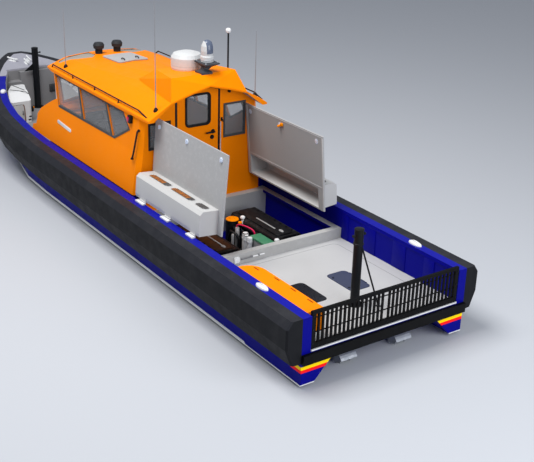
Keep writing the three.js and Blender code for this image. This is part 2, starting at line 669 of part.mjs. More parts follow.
function buildSides() {
  const { panel, frameBand, opening } = sidePanel();
  pair('wheelhouse_side', cut(panel, [opening]), ORANGE);
  const glazing = (spare) => shrink(SIDE_WINDOW, SIDE_BARS.map((width) => width + spare));
  const glazed = prism('xz', glazing(0), 900, 1300);
  const inOpening = frameBand.intersect(prism('xz', shrink(SIDE_WINDOW, GAP), 900, 1300));
  const mullions = inOpening.intersect(join(MULLIONS.map((line) => windowBar(line, 34))));
  const pane = glassBand().intersect(prism('xz', glazing(GAP), 900, 1300));
  const clearance = glassBand(GAP).intersect(prism('xz', glazing(-1), 900, 1300));
  pair('side_window_frame', join([cut(inOpening, [glazed]), cut(mullions, [clearance])]), DARK);
  pair('side_glass', pane, TINTED);
}
function glassBand(spare = 0) {
  const face = [[1196, 990], [1096, CABIN.sill], [1046, CABIN.eave - GAP]];
  const inside = face.map(([y, z]) => [y - 10 - spare, z]).reverse();
  return prism('yz', [...face.map(([y, z]) => [y + spare, z]), ...inside], CABIN.aft, 8600);
}

const doorOutline = () => [[DOOR.starboard, DOOR.bottom], [DOOR.port, DOOR.bottom], ...DOOR.top];

function buildAftBulkhead() {
  const x0 = CABIN.aft;
  const x1 = CABIN.aft + 42;
  const doorway = shrink(doorOutline(), -RUN);
  const windows = [
    ['aft_window_starboard', rectangle(-826, -404, 1686, 2253)],
    ['aft_window_port', rectangle(560, 955, 1686, 2120)],
  ];
  const sheet = box(x0, x1, -1300, 1300, BAY.top + GAP, 3000).intersect(cabinEnvelope(CORNER.post + GAP));
  const wall = cut(sheet, [
    shifted(roofShell(), 0, 0, -2 * GAP), prism('yz', doorway, x0 - 5, x1 + 5),
    ...windows.map(([, outline]) => prism('yz', outline, x0 - 5, x1 + 5)),
  ]);
  piece('wheelhouse_aft_bulkhead', wall, ORANGE);
  windows.forEach(([name, outline]) => {
    const frame = prism('yz', shrink(outline, GAP), x0 - 10, x1 - 4, [shrink(outline, 32)]);
    piece(name, frame.add(prism('yz', shrink(outline, 30), x0 + 8, x0 + 18)), DARK);
  });
}

function buildDoor() {
  const [a, b] = [DOOR.hingeX, DOOR.hingeX + DOOR.thick];
  const pane = rounded(rectangle(-155, 300, 1955, 2480), 70);
  const leaf = prism('yz', doorOutline(), a, b, [pane]);
  const hingeY = DOOR.port + 3;
  piece('cabin_door', leaf.add(bar([a, hingeY, 900], [a, hingeY, 2400], 6.4, 16)), ORANGE);
  const seat = rounded(rectangle(-155 + GAP, 300 - GAP, 1955 + GAP, 2480 - GAP), 70);
  const ring = prism('yz', seat, a - 8, b - 6, [rounded(rectangle(-123, 268, 1987, 2448), 45)]);
  const glass = prism('yz', rounded(rectangle(-125, 270, 1985, 2450), 45), a + 14, a + 24);
  piece('door_window', ring.add(glass), DARK);
}

// Space behind the windscreen's outer face when that is moved aft by a shift.
function screenBody(shift, from, to, back) {
  return loft([from, to].map((t) => {
    const x = SCREEN.knuckle[0] + SCREEN.rake[0] * t - shift;
    const y = SCREEN.knuckle[1] + SCREEN.rake[1] * t;
    const side = SCREEN.side;
    const corner = x - (side - y) * SCREEN.sweep;
    const plan = [[x, y], [x, -y], [corner, -side], [back, -side], [back, side], [corner, side]];
    return plan.map(([a, b]) => point(a, b, lerp(CABIN.sill, CABIN.eave, t)));
  }));
}

function buildFront() {
  const wall = screenBody(0, -0.1, 1.5, 7100).subtract(screenBody(SCREEN.thick, -0.2, 1.6, 7000));
  const openings = [box(7650, 8200, -430, 430, 1730, 2120), both(box(7350, 8200, 585, 985, 1730, 2090))];
  const base = CABIN.sill - 20;
  const foot = HULL.gunwale - HULL.capDepth + 6;
  const lower = box(CABIN.fore + 6, CABIN.fore + 44, -1300, 1300, foot, base - 10);
  const level = box(7400, 8200, -1300, 1300, base - 30, base + 10);
  const shelf = screenBody(-6, -0.12, 0.02, 7200).intersect(level);
  const under = shifted(roofShell(), 0, 0, -2 * GAP);
  const front = cut(join([wall, lower, shelf]), [...openings, under, screenBody(-2, 1.45, 1.7, 7000)]);
  piece('wheelhouse_front', front.intersect(cabinEnvelope()), ORANGE);
  const depth = SCREEN.thick + GAP;
  const glass = screenBody(depth, 0.05, 0.97, 7100).subtract(screenBody(depth + 10, 0, 1, 7000));
  piece('windscreen_glass', glass.intersect(box(7000, 8300, -1020, 1020, 1700, 2150)), TINTED);
}

// Height of the roof's outer face on the centre line or out on its side slope.
function roofTopAt(x, y) {
  const k = Math.max(1, ROOF.findIndex(([station]) => station >= x));
  const [before, after] = [ROOF[k - 1], ROOF[k]];
  const s = (x - before[0]) / (after[0] - before[0]);
  const mix = (i) => [0, 1].map((axis) => lerp(before[i][axis], after[i][axis], s));
  const line = [[0, lerp(before[4], after[4], s)], mix(3), mix(2), mix(1)];
  const j = Math.max(1, line.findIndex(([at]) => at >= Math.abs(y)));
  const t = (Math.abs(y) - line[j - 1][0]) / (line[j][0] - line[j - 1][0]);
  return lerp(line[j - 1][1], line[j][1], t);
}

function buildRoof() {
  const hatch = rectangle(ROOF_HATCH.aft, ROOF_HATCH.fore, -ROOF_HATCH.half, ROOF_HATCH.half);
  const openings = [both(prism('xy', SKYLIGHT, 2200, 3000)), prism('xy', shrink(hatch, 40), 2000, 3000)];
  const housing = pod().subtract(roofBody(-ROOF_SKIN / 2));
  const bosses = join([1, -1].map((side) => {
    const [x, y, top] = [SEARCHLIGHT.x, side * SEARCHLIGHT.y, searchlightBase() - GAP];
    return bar([x, y, top - 25], [x, y, top], 45, 20);
  }));
  piece('roof', cut(join([roofShell(), housing, bosses]), openings), ORANGE);
  const glass = roofBody(-8).subtract(roofBody(-18));
  pair('skylight', glass.intersect(prism('xy', shrink(SKYLIGHT, GAP), 2200, 3000)), TINTED);
  const lid = roofBody(ROOF_HATCH.thick + RUN).subtract(roofBody(RUN));
  const hinge = [ROOF_HATCH.fore + RUN, roofTopAt(ROOF_HATCH.fore + RUN, 0) + 8 + 2 * GAP];
  const knuckle = join([
    bar([hinge[0], -60, hinge[1]], [hinge[0], 60, hinge[1]], 8, 16),
    box(hinge[0] - 30, hinge[0], -60, 60, hinge[1] + 1, hinge[1] + 7),
  ]);
  piece('roof_hatch', lid.intersect(prism('xy', rounded(hatch, 60), 2300, 2700)).add(knuckle), PALE);
  pair('roof_rail', roofRail(), BLACK);
}

function roofRail() {
  const over = (x, y, height = RAIL_HEIGHT) => [x, y, roofTopAt(x, y) + height];
  const top = RAIL_FEET.map(([x, y]) => over(x, y));
  const run = [over(7970, 1030, 0), ...top, over(4720, 1055), over(4480, 1050, 0)];
  const posts = RAIL_FEET.slice(1).map(([x, y]) => bar(over(x, y, -20), over(x, y), 9, 6));
  return join([bentBar(run, 12, 6), ...posts]).subtract(roofDeck(GAP));
}

const searchlightBase = () => roofTopAt(SEARCHLIGHT.x, SEARCHLIGHT.y) + RUN;

function buildRoofGear() {
  const deck = roofDeck(GAP);
  piece('radome', dome(RADOME.x, 0, RADOME.z, RADOME.profile).subtract(deck), WHITE);
  const [camX, camY, seat] = [CAMERA.x, CAMERA.y, CAMERA.seat];
  const ring = (halfX, halfY, z, shift) => {
    const outline = rectangle(camX - halfX, camX + halfX, camY - halfY, camY + halfY);
    return outline.map(([x, y]) => point(x, y + shift, z));
  };
  const pedestal = loft([
    ring(100, 100, 2740, 60), ring(100, 100, 2816, 60), ring(46, 46, 2840, 45), ring(60, 60, 2880, 15),
    ring(165, 130, seat - 18, 0), ring(165, 130, seat, 0),
  ]);
  piece('camera_pedestal', pedestal.subtract(deck), DARK);
  const turret = join([
    dome(camX, camY, seat + GAP, [[0, 0], [40, 0], [40, RUN], [100, RUN], [104, 84], [88, 112], [0, 112]]),
    dome(camX, camY, seat + RUN + 62, [
      [0, 0], [90, 30], [98, 105], [91, 185], [64, 246], [32, 268], [0, 274],
    ]),
  ]);
  piece('camera_turret', turret, WHITE);
  const mast = join([
    bar([AERIAL.x, AERIAL.y, 2600], [AERIAL.x, AERIAL.y, AERIAL.top], 14, 10),
    dome(AERIAL.x, AERIAL.y, AERIAL.top - 20, [[0, 0], [34, 12], [42, 40], [30, 66], [0, 74]], 12),
  ]);
  piece('aerial', mast.subtract(deck), BLACK);
  WHIPS.forEach(([name, x, y, length]) => {
    const foot = roofTopAt(x, y);
    const whip = join([
      bar([x, y, foot + 40], [x, y, foot + length], 9, 8, 4),
      dome(x, y, foot - 40, [[0, 0], [42, 0], [36, 60], [16, 92], [0, 92]], 16),
    ]);
    piece(name, whip.subtract(deck), BLACK);
  });
  pair('searchlight', dome(SEARCHLIGHT.x, SEARCHLIGHT.y, searchlightBase(), SEARCHLIGHT.profile, 20), BLACK);
}

// Inside of the wheelhouse

function buildInterior() {
  const sole = DECK.soleTop - 20 + GAP;
  const console = [[7560, sole], [7560, 1560], [7300, 1560], [7120, 1400], [7060, 1250], [7060, sole]];
  piece('dashboard', prism('xz', console, -1000, 1000), DARK);
  const seat = (x) => join([
    box(x - 60, x + 60, 480, 600, sole, sole + 500), box(x - 230, x + 250, 300, 780, sole + 500, sole + 620),
    box(x - 300, x - 180, 310, 770, sole + 560, sole + 1330),
  ]);
  pair('seats', join([...SEAT_ROWS.map(seat), box(5200, 6800, 500, 580, sole, sole + 40)]), FABRIC);
}

// Waterjets

function buildJets() {
  const [y, z] = [JET.spacing, JET.axisZ];
  const ear = (side) => box(330, 500, y - 22, y + 22, z + side * 130 - 9, z + side * 130 + 9);
  const unit = join([
    bar([JET.bulkhead - GAP, y, z], [600, y, z], 215, 24, 150), bar([600, y, z], [480, y, z], 150, 24),
    box(JET.bulkhead - 26, JET.bulkhead - GAP, y - 280, y + 280, z - 250, z + 250), ear(1), ear(-1),
  ]);
  pair('jet_unit', unit, ALLOY);
  const ball = new THREE.SphereGeometry(115, 18, 10);
  ball.translate(JET.steerX, y, z);
  const pinTop = 130 - 9 - GAP;
  const nozzle = cut(join([
    toSolid(ball), bar([JET.steerX, y, z], [225, y, z], 106, 18, 92),
    bar([JET.steerX, y, z - pinTop], [JET.steerX, y, z + pinTop], 16, 12),
    bar([JET.bucketX, y - 120.7, z], [JET.bucketX, y + 120.7, z], 14, 12),
  ]), [bar([480, y, z], [200, y, z], 84, 16, 74)]);
  pair('jet_nozzle', nozzle, ALLOY);
  const arc = (radius, steps, from, to) => Array.from({ length: steps + 1 }, (_, k) => {
    const angle = THREE.MathUtils.degToRad(lerp(from, to, k / steps));
    return [JET.bucketX + radius * Math.cos(angle), z + radius * Math.sin(angle)];
  });
  const scoop = [...arc(168, 5, 95, 155), ...arc(150, 5, 155, 95)];
  const arm = [...arc(160, 3, 100, 150), ...arc(30, 3, 200, 410)];
  const arms = [-133, 121].map((from) => prism('xz', arm, y + from, y + from + 12));
  const bucket = join([prism('xz', scoop, y - 133, y + 133), ...arms]);
  pair('jet_bucket', bucket, ALLOY);
}

buildHull();
buildAftDeck();
buildGrille();
buildPosts();
buildSideLocker();
buildEngineBay();
buildLids();
buildForedeck();
buildSides();
buildAftBulkhead();
buildDoor();
buildFront();
buildRoof();
buildRoofGear();
buildInterior();
buildJets();

export default boat;
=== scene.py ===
"""Looks of an inshore rescue boat: finishes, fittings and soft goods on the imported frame.

Lengths are in metres. X runs forward from the transom, Y to port and Z up from the waterline.
Every piece is built in the boat's own frame, so its material's grain has the same scale all over.
"""

from __future__ import annotations

import json
import logging
from collections.abc import Callable, Sequence
from dataclasses import dataclass, field
from enum import Enum
from functools import cache
from math import cos, exp, pi, radians, sin

import bmesh
import bpy
from mathutils import Matrix, Vector
from mathutils.bvhtree import BVHTree

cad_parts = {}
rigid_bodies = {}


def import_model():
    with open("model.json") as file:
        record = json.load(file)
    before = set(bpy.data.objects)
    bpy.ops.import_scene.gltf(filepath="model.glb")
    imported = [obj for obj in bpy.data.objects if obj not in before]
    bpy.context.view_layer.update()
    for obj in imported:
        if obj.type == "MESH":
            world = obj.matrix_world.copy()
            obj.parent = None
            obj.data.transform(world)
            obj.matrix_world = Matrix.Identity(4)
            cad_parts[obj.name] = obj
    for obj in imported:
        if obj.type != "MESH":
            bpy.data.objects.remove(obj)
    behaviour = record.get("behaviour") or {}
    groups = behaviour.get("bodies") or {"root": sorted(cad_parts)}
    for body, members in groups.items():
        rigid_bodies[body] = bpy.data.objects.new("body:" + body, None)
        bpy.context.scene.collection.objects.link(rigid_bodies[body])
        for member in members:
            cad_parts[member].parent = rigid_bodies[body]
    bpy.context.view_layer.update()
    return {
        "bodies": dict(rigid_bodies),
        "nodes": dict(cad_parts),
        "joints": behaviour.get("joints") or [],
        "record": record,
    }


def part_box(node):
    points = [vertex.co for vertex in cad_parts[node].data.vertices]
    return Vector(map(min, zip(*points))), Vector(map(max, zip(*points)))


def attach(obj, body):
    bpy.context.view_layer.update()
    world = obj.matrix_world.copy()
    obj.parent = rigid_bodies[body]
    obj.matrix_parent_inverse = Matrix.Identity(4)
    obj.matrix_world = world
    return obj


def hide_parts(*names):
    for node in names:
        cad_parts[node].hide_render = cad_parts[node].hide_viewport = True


LOG = logging.getLogger("rescue_boat")

Colour = tuple[float, float, float]
Point = tuple[float, float, float]
Pair = tuple[float, float]
Outline = Sequence[Pair]
Mesh = bmesh.types.BMesh
SIDES = {"port": 1, "starboard": -1}
AFT = (-1, 0, 0)
PLAIN = (1, 1, 1, 1)
CLEAN = {"salt": 0.0, "runs": 0.0}
MOULDED = {"relief": 0.12, "depth": 0.0006}


# Shader groups


class Grain(Enum):
    """The small surface texture that a finish has."""

    ORANGE_PEEL = "Orange peel"
    DECK_GRIT = "Deck grit"
    RUBBER_SKIN = "Rubber skin"
    CAST_SKIN = "Cast skin"
    BRUSHED = "Brushed lines"
    WEAVE = "Cloth weave"


class NodeKit:
    """A node tree with short calls to add and join nodes."""

    def __init__(self, tree: bpy.types.NodeTree) -> None:
        """Keeps the tree.

        Args:
            tree: The material's or group's node tree.
        """
        self.tree = tree

    def feed(self, node: bpy.types.Node, feeds: dict[str | int, object]) -> None:
        """Sets inputs of a node, or joins sockets to them.

        Args:
            node: The node.
            feeds: Input names or places, each with a value or with the socket to join to it.
        """
        for name, value in feeds.items():
            if isinstance(value, bpy.types.NodeSocket):
                self.tree.links.new(value, node.inputs[name])
            else:
                node.inputs[name].default_value = value

    def add(self, kind: str, feeds: dict[str | int, object] | None = None, **settings: object) -> bpy.types.Node:
        """Adds a node.

        Args:
            kind: The node's type name.
            feeds: Its inputs, as for feed().
            **settings: Its properties.

        Returns:
            The new node.
        """
        node = self.tree.nodes.new(kind)
        for name, value in settings.items():
            setattr(node, name, value)
        self.feed(node, feeds or {})
        return node

    def group(self, tree: bpy.types.NodeTree, feeds: dict[str | int, object]) -> bpy.types.NodeOutputs:
        """Adds a node group.

        Args:
            tree: The group's node tree.
            feeds: Its inputs, as for feed().

        Returns:
            Its outputs.
        """
        return self.add("ShaderNodeGroup", feeds, node_tree=tree).outputs

    def maths(self, step: str, *values: object, clamp: bool = False) -> bpy.types.NodeSocket:
        """Adds a Math node.

        Args:
            step: The operation.
            *values: Its values or sockets.
            clamp: Whether the result stays between 0 and 1.

        Returns:
            The socket that holds the result.
        """
        return self.add("ShaderNodeMath", dict(enumerate(values)), operation=step, use_clamp=clamp).outputs[0]

    def span(
        self, value: object, low: float, high: float, out_low: float = 0.0, out_high: float = 1.0,
    ) -> bpy.types.NodeSocket:
        """Maps one range onto another, clamped.

        Args:
            value: The socket to map.
            low: Value that gives out_low.
            high: Value that gives out_high.
            out_low: Result at low.
            out_high: Result at high.

        Returns:
            The socket that holds the result.
        """
        feeds = {"Value": value, "From Min": low, "From Max": high, "To Min": out_low, "To Max": out_high}
        return self.add("ShaderNodeMapRange", feeds).outputs["Result"]

    def noise(self, where: object, scale: object, detail: float, rough: float = 0.5) -> bpy.types.NodeSocket:
        """Adds a noise texture.

        Args:
            where: The socket that tells the place.
            scale: Its scale.
            detail: Its detail.
            rough: Its roughness.

        Returns:
            The socket that holds the noise.
        """
        feeds = {"Vector": where, "Scale": scale, "Detail": detail, "Roughness": rough}
        return self.add("ShaderNodeTexNoise", feeds).outputs["Fac"]

    def drawn(self, where: object, scale: Point) -> bpy.types.NodeSocket:
        """Adds a noise texture that is drawn out into lines.

        Args:
            where: The socket that tells the place.
            scale: Its scale along each axis.

        Returns:
            The socket that holds the noise.
        """
        return self.noise(self.add("ShaderNodeMapping", {"Vector": where, "Scale": scale}).outputs["Vector"], 1.0, 4.0)

    def blend(self, share: object, under: object, over: object) -> bpy.types.NodeSocket:
        """Mixes two colours.

        Args:
            share: The share of the second colour.
            under: The first colour.
            over: The second colour.

        Returns:
            The socket that holds the mix.
        """
        return self.add("ShaderNodeMix", {"Factor": share, 6: under, 7: over}, data_type="RGBA").outputs[2]


class ShaderGroups:
    """The node groups that the finishes share. Each is built once, when it is first asked for."""

    @staticmethod
    def start(
        name: str, inputs: dict[str, object], *outputs: str,
    ) -> tuple[NodeKit, bpy.types.NodeOutputs, bpy.types.Node, bpy.types.NodeSocket]:
        """Makes an empty group with its sockets.

        Args:
            name: The group's name.
            inputs: Input names with their default values, a number or a colour of four numbers.
            *outputs: Output names. The one named Colour is a colour and the others are numbers.
        """
        tree = bpy.data.node_groups.new(name, "ShaderNodeTree")
        for label, value in inputs.items():
            kind = "NodeSocketFloat" if isinstance(value, (int, float)) else "NodeSocketColor"
            tree.interface.new_socket(label, in_out="INPUT", socket_type=kind).default_value = value
        for label in outputs:
            kind = "NodeSocketColor" if label == "Colour" else "NodeSocketFloat"
            tree.interface.new_socket(label, in_out="OUTPUT", socket_type=kind)
        kit = NodeKit(tree)
        where = kit.add("ShaderNodeTexCoord").outputs["Object"]
        return kit, kit.add("NodeGroupInput").outputs, kit.add("NodeGroupOutput"), where

    @cache
    def tone_drift(self) -> bpy.types.NodeTree:
        """Builds the group that lets a colour drift lighter and darker in broad patches.

        Returns:
            The group.
        """
        kit, given, out, where = self.start("Tone drift", {"Colour": PLAIN, "Amount": 0.05, "Size": 1.0}, "Colour")
        swing = kit.span(kit.noise(where, given["Size"], 5.0), 0.3, 0.7, -1.0, 1.0)
        value = kit.maths("MULTIPLY_ADD", swing, given["Amount"], 1.0)
        tinted = kit.add("ShaderNodeHueSaturation", {"Color": given["Colour"], "Value": value})
        kit.feed(out, {"Colour": tinted.outputs["Color"]})
        return kit.tree

    @cache
    def weathering(self) -> bpy.types.NodeTree:
        """Builds the group that lays dried salt on upper faces and faint run marks down steep ones.

        Returns:
            The group.
        """
        inputs = {"Colour": PLAIN, "Salt Colour": (0.6, 0.6, 0.58, 1), "Salt": 0.1, "Runs": 0.1}
        kit, given, out, where = self.start("Weathering", inputs, "Colour", "Mask")
        facing = kit.add(
            "ShaderNodeSeparateXYZ", {"Vector": kit.add("ShaderNodeNewGeometry").outputs["Normal"]},
        ).outputs["Z"]
        patches = kit.span(kit.noise(where, 3.5, 6.0, 0.65), 0.42, 0.7)
        salt = kit.maths("MULTIPLY", kit.maths("MULTIPLY", kit.span(facing, 0.2, 0.95), patches), given["Salt"])
        steep = kit.span(kit.maths("ABSOLUTE", facing), 0.25, 0.6, 1.0, 0.0)
        lines = kit.span(kit.drawn(where, (9.0, 9.0, 0.7)), 0.55, 0.75)
        runs = kit.maths("MULTIPLY", kit.maths("MULTIPLY", steep, lines), given["Runs"])
        mask = kit.maths("ADD", salt, runs, clamp=True)
        kit.feed(out, {"Colour": kit.blend(mask, given["Colour"], given["Salt Colour"]), "Mask": mask})
        return kit.tree

    @cache
    def edge_wear(self) -> bpy.types.NodeTree:
        """Builds the group that wears a finish through where edges stand out.

        Returns:
            The group.
        """
        inputs = {"Colour": PLAIN, "Worn Colour": (0.5, 0.5, 0.5, 1), "Wear": 0.2}
        kit, given, out, where = self.start("Edge wear", inputs, "Colour", "Mask")
        edges = kit.span(kit.add("ShaderNodeNewGeometry").outputs["Pointiness"], 0.52, 0.6)
        worn = kit.maths("MULTIPLY", edges, kit.span(kit.noise(where, 14.0, 8.0, 0.7), 0.5, 0.62))
        worn = kit.maths("MULTIPLY", worn, given["Wear"], clamp=True)
        kit.feed(out, {"Colour": kit.blend(worn, given["Colour"], given["Worn Colour"]), "Mask": worn})
        return kit.tree

    @cache
    def gloss_drift(self) -> bpy.types.NodeTree:
        """Builds the group that lets the gloss vary with handling, fine scuffs and dried spray.

        Returns:
            The group.
        """
        inputs = {"Roughness": 0.4, "Spread": 0.1, "Mask": 0.0}
        kit, given, out, where = self.start("Gloss drift", inputs, "Roughness")
        swing = kit.span(kit.noise(where, 6.0, 7.0, 0.6), 0.3, 0.7, -1.0, 1.0)
        drift = kit.maths("MULTIPLY", swing, given["Spread"])
        dull = kit.maths("MULTIPLY", given["Mask"], 0.45)
        total = kit.maths("ADD", kit.maths("ADD", given["Roughness"], drift), dull, clamp=True)
        kit.feed(out, {"Roughness": total})
        return kit.tree

    @cache
    def grain(self, kind: Grain) -> bpy.types.NodeTree:
        """Gives the group that holds a grain's height.

        Args:
            kind: Which grain.

        Returns:
            The group.
        """
        kit, given, out, where = self.start(kind.value, {"Size": 1.0}, "Height", "Mask")
        place = kit.add("ShaderNodeVectorMath", {0: where, "Scale": given["Size"]}, operation="SCALE").outputs[0]
        if kind is Grain.ORANGE_PEEL:
            fine = kit.noise(place, 160.0, 2.0)
            height = kit.maths("ADD", kit.maths("MULTIPLY", fine, 0.35), kit.noise(place, 7.0, 2.0))
            mask = kit.span(fine, 0.4, 0.6)
        elif kind is Grain.DECK_GRIT:
            grit = kit.add("ShaderNodeTexVoronoi", {"Vector": place, "Scale": 190.0})
            mask = kit.span(grit.outputs["Distance"], 0.15, 0.55, 1.0, 0.0)
            height = kit.maths("ADD", mask, kit.maths("MULTIPLY", kit.noise(place, 90.0, 4.0), 0.6))
        elif kind is Grain.RUBBER_SKIN:
            cells = kit.add("ShaderNodeTexVoronoi", {"Vector": place, "Scale": 70.0}, feature="SMOOTH_F1")
            mask = kit.span(cells.outputs["Distance"], 0.1, 0.6)
            waves = kit.maths("MULTIPLY", kit.noise(place, 3.0, 3.0), 2.0)
            height = kit.maths("ADD", kit.maths("MULTIPLY", mask, 0.4), waves)
        elif kind is Grain.CAST_SKIN:
            height = mask = kit.span(kit.noise(place, 220.0, 6.0, 0.7), 0.35, 0.65)
        elif kind is Grain.BRUSHED:
            height = mask = kit.span(kit.drawn(place, (12.0, 260.0, 260.0)), 0.35, 0.65)
        else:
            feeds = {"Vector": place, "Scale": 60.0, "Distortion": 0.6}
            warp = kit.add("ShaderNodeTexWave", feeds, bands_direction="X").outputs["Fac"]
            weft = kit.add("ShaderNodeTexWave", feeds, bands_direction="Z").outputs["Fac"]
            mask = kit.maths("MULTIPLY", warp, weft)
            height = kit.maths("ADD", warp, weft)
        kit.feed(out, {"Height": height, "Mask": mask})
        return kit.tree


# Finishes


@dataclass(frozen=True)
class Finish:
    """A finish on the boat, from which its material is made."""

    name: str
    slot: str
    colour: Colour
    grain: Grain
    roughness: float = 0.4
    relief: float = 0.1
    depth: float = 0.001
    gloss_spread: float = 0.08
    metallic: float = 0.0
    coat: float = 0.0
    drift: float = 0.05
    salt: float = 0.06
    runs: float = 0.05
    wear: float = 0.0
    worn: Colour = (0.35, 0.35, 0.36)
    alpha: float = 1.0
    specular: float = 0.5

    def material(self, groups: ShaderGroups) -> bpy.types.Material:
        """Builds the material, or returns it where it is built already.

        Args:
            groups: The shared shader groups.

        Returns:
            The material.
        """
        label = self.name.replace("_", " ").capitalize()
        known = bpy.data.materials.get(label)
        if known is not None:
            return known
        made = bpy.data.materials.new(label)
        made.use_nodes = True
        made.diffuse_color = (*self.colour, self.alpha)
        made.node_tree.nodes.clear()
        kit = NodeKit(made.node_tree)
        shader = kit.add("ShaderNodeBsdfPrincipled")
        shader.inputs["Metallic"].default_value = self.metallic
        shader.inputs["Coat Weight"].default_value = self.coat
        shader.inputs["Coat Roughness"].default_value = 0.06
        shader.inputs["Specular IOR Level"].default_value = self.specular
        shader.inputs["Alpha"].default_value = self.alpha
        if self.grain is Grain.WEAVE:
            shader.inputs["Sheen Weight"].default_value = 0.4
        drift = kit.group(groups.tone_drift(), {"Colour": (*self.colour, 1), "Amount": self.drift, "Size": 0.9})
        aged = kit.group(groups.weathering(), {"Colour": drift["Colour"], "Salt": self.salt, "Runs": self.runs})
        feeds = {"Colour": aged["Colour"], "Worn Colour": (*self.worn, 1), "Wear": self.wear}
        worn = kit.group(groups.edge_wear(), feeds)
        feeds = {"Mask": aged["Mask"], "Roughness": self.roughness, "Spread": self.gloss_spread}
        gloss = kit.group(groups.gloss_drift(), feeds)
        feeds = {
            "Strength": self.relief, "Distance": self.depth,
            "Height": kit.group(groups.grain(self.grain), {})["Height"],
        }
        normal = kit.add("ShaderNodeBump", feeds).outputs["Normal"]
        kit.feed(shader, {"Base Color": worn["Colour"], "Roughness": gloss["Roughness"], "Normal": normal})
        kit.add("ShaderNodeOutputMaterial", {"Surface": shader.outputs["BSDF"]})
        return made


def paint(name: str, slot: str, colour: Colour, roughness: float = 0.36, **more: object) -> Finish:
    """Makes a sprayed paint finish.

    Args:
        name: The finish's name.
        slot: The record's material slot.
        colour: Linear base colour.
        roughness: Mean roughness.
        **more: Other fields of the finish.

    Returns:
        The finish.
    """
    return Finish(name, slot, colour, Grain.ORANGE_PEEL, roughness, relief=0.12, depth=0.0012, **more)


HULL_BLUE = paint("hull_blue", "hull_paint", (0.002, 0.0025, 0.225), 0.4, specular=0.05, drift=0.04, **CLEAN)
# Lighter copy of the hull blue on the gunwale's upward faces: painted light on the top.
HULL_BLUE_LIT_TOP = paint("hull_blue_painted_light_top", "hull_paint", (0.008, 0.01, 0.29), 0.4, specular=0.05, drift=0.04, **CLEAN)
BOTTOM_BLACK = paint("bottom_black", "hull_bottom", (0.01, 0.01, 0.013), 0.6, specular=0.15, salt=0.01)
STRIPE_YELLOW = paint("stripe_yellow", "hull_paint", (1.0, 0.72, 0.0), 0.38, specular=0.1, **CLEAN)
STRIPE_RED = paint("stripe_red", "hull_paint", (1.0, 0.01, 0.01), 0.38, specular=0.1, **CLEAN)
BOOT_WHITE = paint("boot_white", "hull_paint", (0.8, 0.8, 0.8), 0.35)
BODY_ORANGE = paint(
    "body_orange", "orange_paint", (1.0, 0.25, 0.0), 0.46, specular=0.05, drift=0.03, **CLEAN, wear=0.04,
    worn=(0.85, 0.3, 0.04),
)
LID_GREY = paint(
    "lid_grey", "lid_grey", (0.41, 0.41, 0.415), 0.52, specular=0.25, drift=0.015, salt=0.01, runs=0.01, wear=0.2,
    worn=(0.6, 0.6, 0.6),
)
# Darker copy of the lid grey on the lids' inner faces: painted shade.
LID_INNER_PAINTED_SHADE = paint(
    "lid_inner_painted_shade", "lid_grey", (0.33, 0.33, 0.335), 0.55, specular=0.2, drift=0.02, salt=0.0, runs=0.01,
)
LID_PALE = paint("lid_housing_grey", "lid_grey", (0.53, 0.53, 0.53), 0.52, specular=0.25, drift=0.03)
LINER_GREY = paint("liner_grey", "deck_grey", (0.24, 0.24, 0.25), 0.58, specular=0.2, drift=0.05)
BREAST_GREY = Finish(
    "breast_deck_grey", "deck_grey", (0.36, 0.36, 0.42), Grain.DECK_GRIT, 0.65, relief=0.35, depth=0.0015, drift=0.04,
)
DECK_PALE = Finish(
    "deck_non_slip", "pale_deck", (0.485, 0.485, 0.49), Grain.DECK_GRIT, 0.62, relief=0.3, depth=0.0012, drift=0.035,
    salt=0.08,
)
COAMING_PALE = paint(
    "coaming_pale", "pale_deck", (0.43, 0.43, 0.425), 0.55, specular=0.25, drift=0.04, wear=0.15, worn=(0.6, 0.6, 0.6),
)
FENDER_SKIN = Finish(
    "fender_skin", "fender_rubber", (0.0145, 0.0155, 0.021), Grain.RUBBER_SKIN, 0.58, relief=0.25, depth=0.002,
    gloss_spread=0.06, drift=0.06, salt=0.02, runs=0.01, wear=0.2, worn=(0.035, 0.035, 0.04), specular=0.2,
)
# Darker copy of the fender rubber on its side and lower faces: painted shade.
FENDER_PAINTED_SHADE = Finish(
    "fender_skin_painted_shade", "fender_rubber", (0.007, 0.0075, 0.0098), Grain.RUBBER_SKIN, 0.62, relief=0.25, depth=0.002,
    drift=0.06, salt=0.01, runs=0.01, specular=0.15,
)
BAND_BLACK = Finish(
    "band_black", "fender_rubber", (0.003, 0.003, 0.0034), Grain.RUBBER_SKIN, 0.55, relief=0.2, depth=0.002, **CLEAN,
    specular=0.1,
)
METAL_BLACK = paint(
    "metal_black", "black_metal", (0.005, 0.006, 0.008), 0.42, specular=0.2, salt=0.004, runs=0.004, wear=0.15,
    worn=(0.07, 0.07, 0.08),
)
PLASTIC_BLACK = Finish(
    "plastic_black", "black_plastic", (0.007, 0.007, 0.008), Grain.CAST_SKIN, 0.48, **MOULDED, salt=0.006, runs=0.0,
    specular=0.2,
)
LAMP_HOUSING = Finish(
    "lamp_housing", "black_plastic", (0.026, 0.028, 0.032), Grain.CAST_SKIN, 0.5, **MOULDED, salt=0.01, runs=0.0,
    specular=0.15,
)
FRAME_BLACK = paint("frame_black", "window_frame", (0.012, 0.013, 0.015), 0.45, specular=0.2, salt=0.004)
FRAME_GREY = paint("frame_grey", "window_frame", (0.062, 0.064, 0.068), 0.48, specular=0.15, salt=0.0)
MOULDED_WHITE = paint("moulded_white", "white_gelcoat", (0.8, 0.81, 0.82), 0.34, coat=0.25, drift=0.02)
RADOME_WHITE = paint("radome_white", "white_gelcoat", (0.58, 0.59, 0.6), 0.42, specular=0.2, drift=0.02)
SMOKED = paint("smoked_panel", "smoked_panel", (0.03, 0.038, 0.085), 0.16, salt=0.01, runs=0.0)
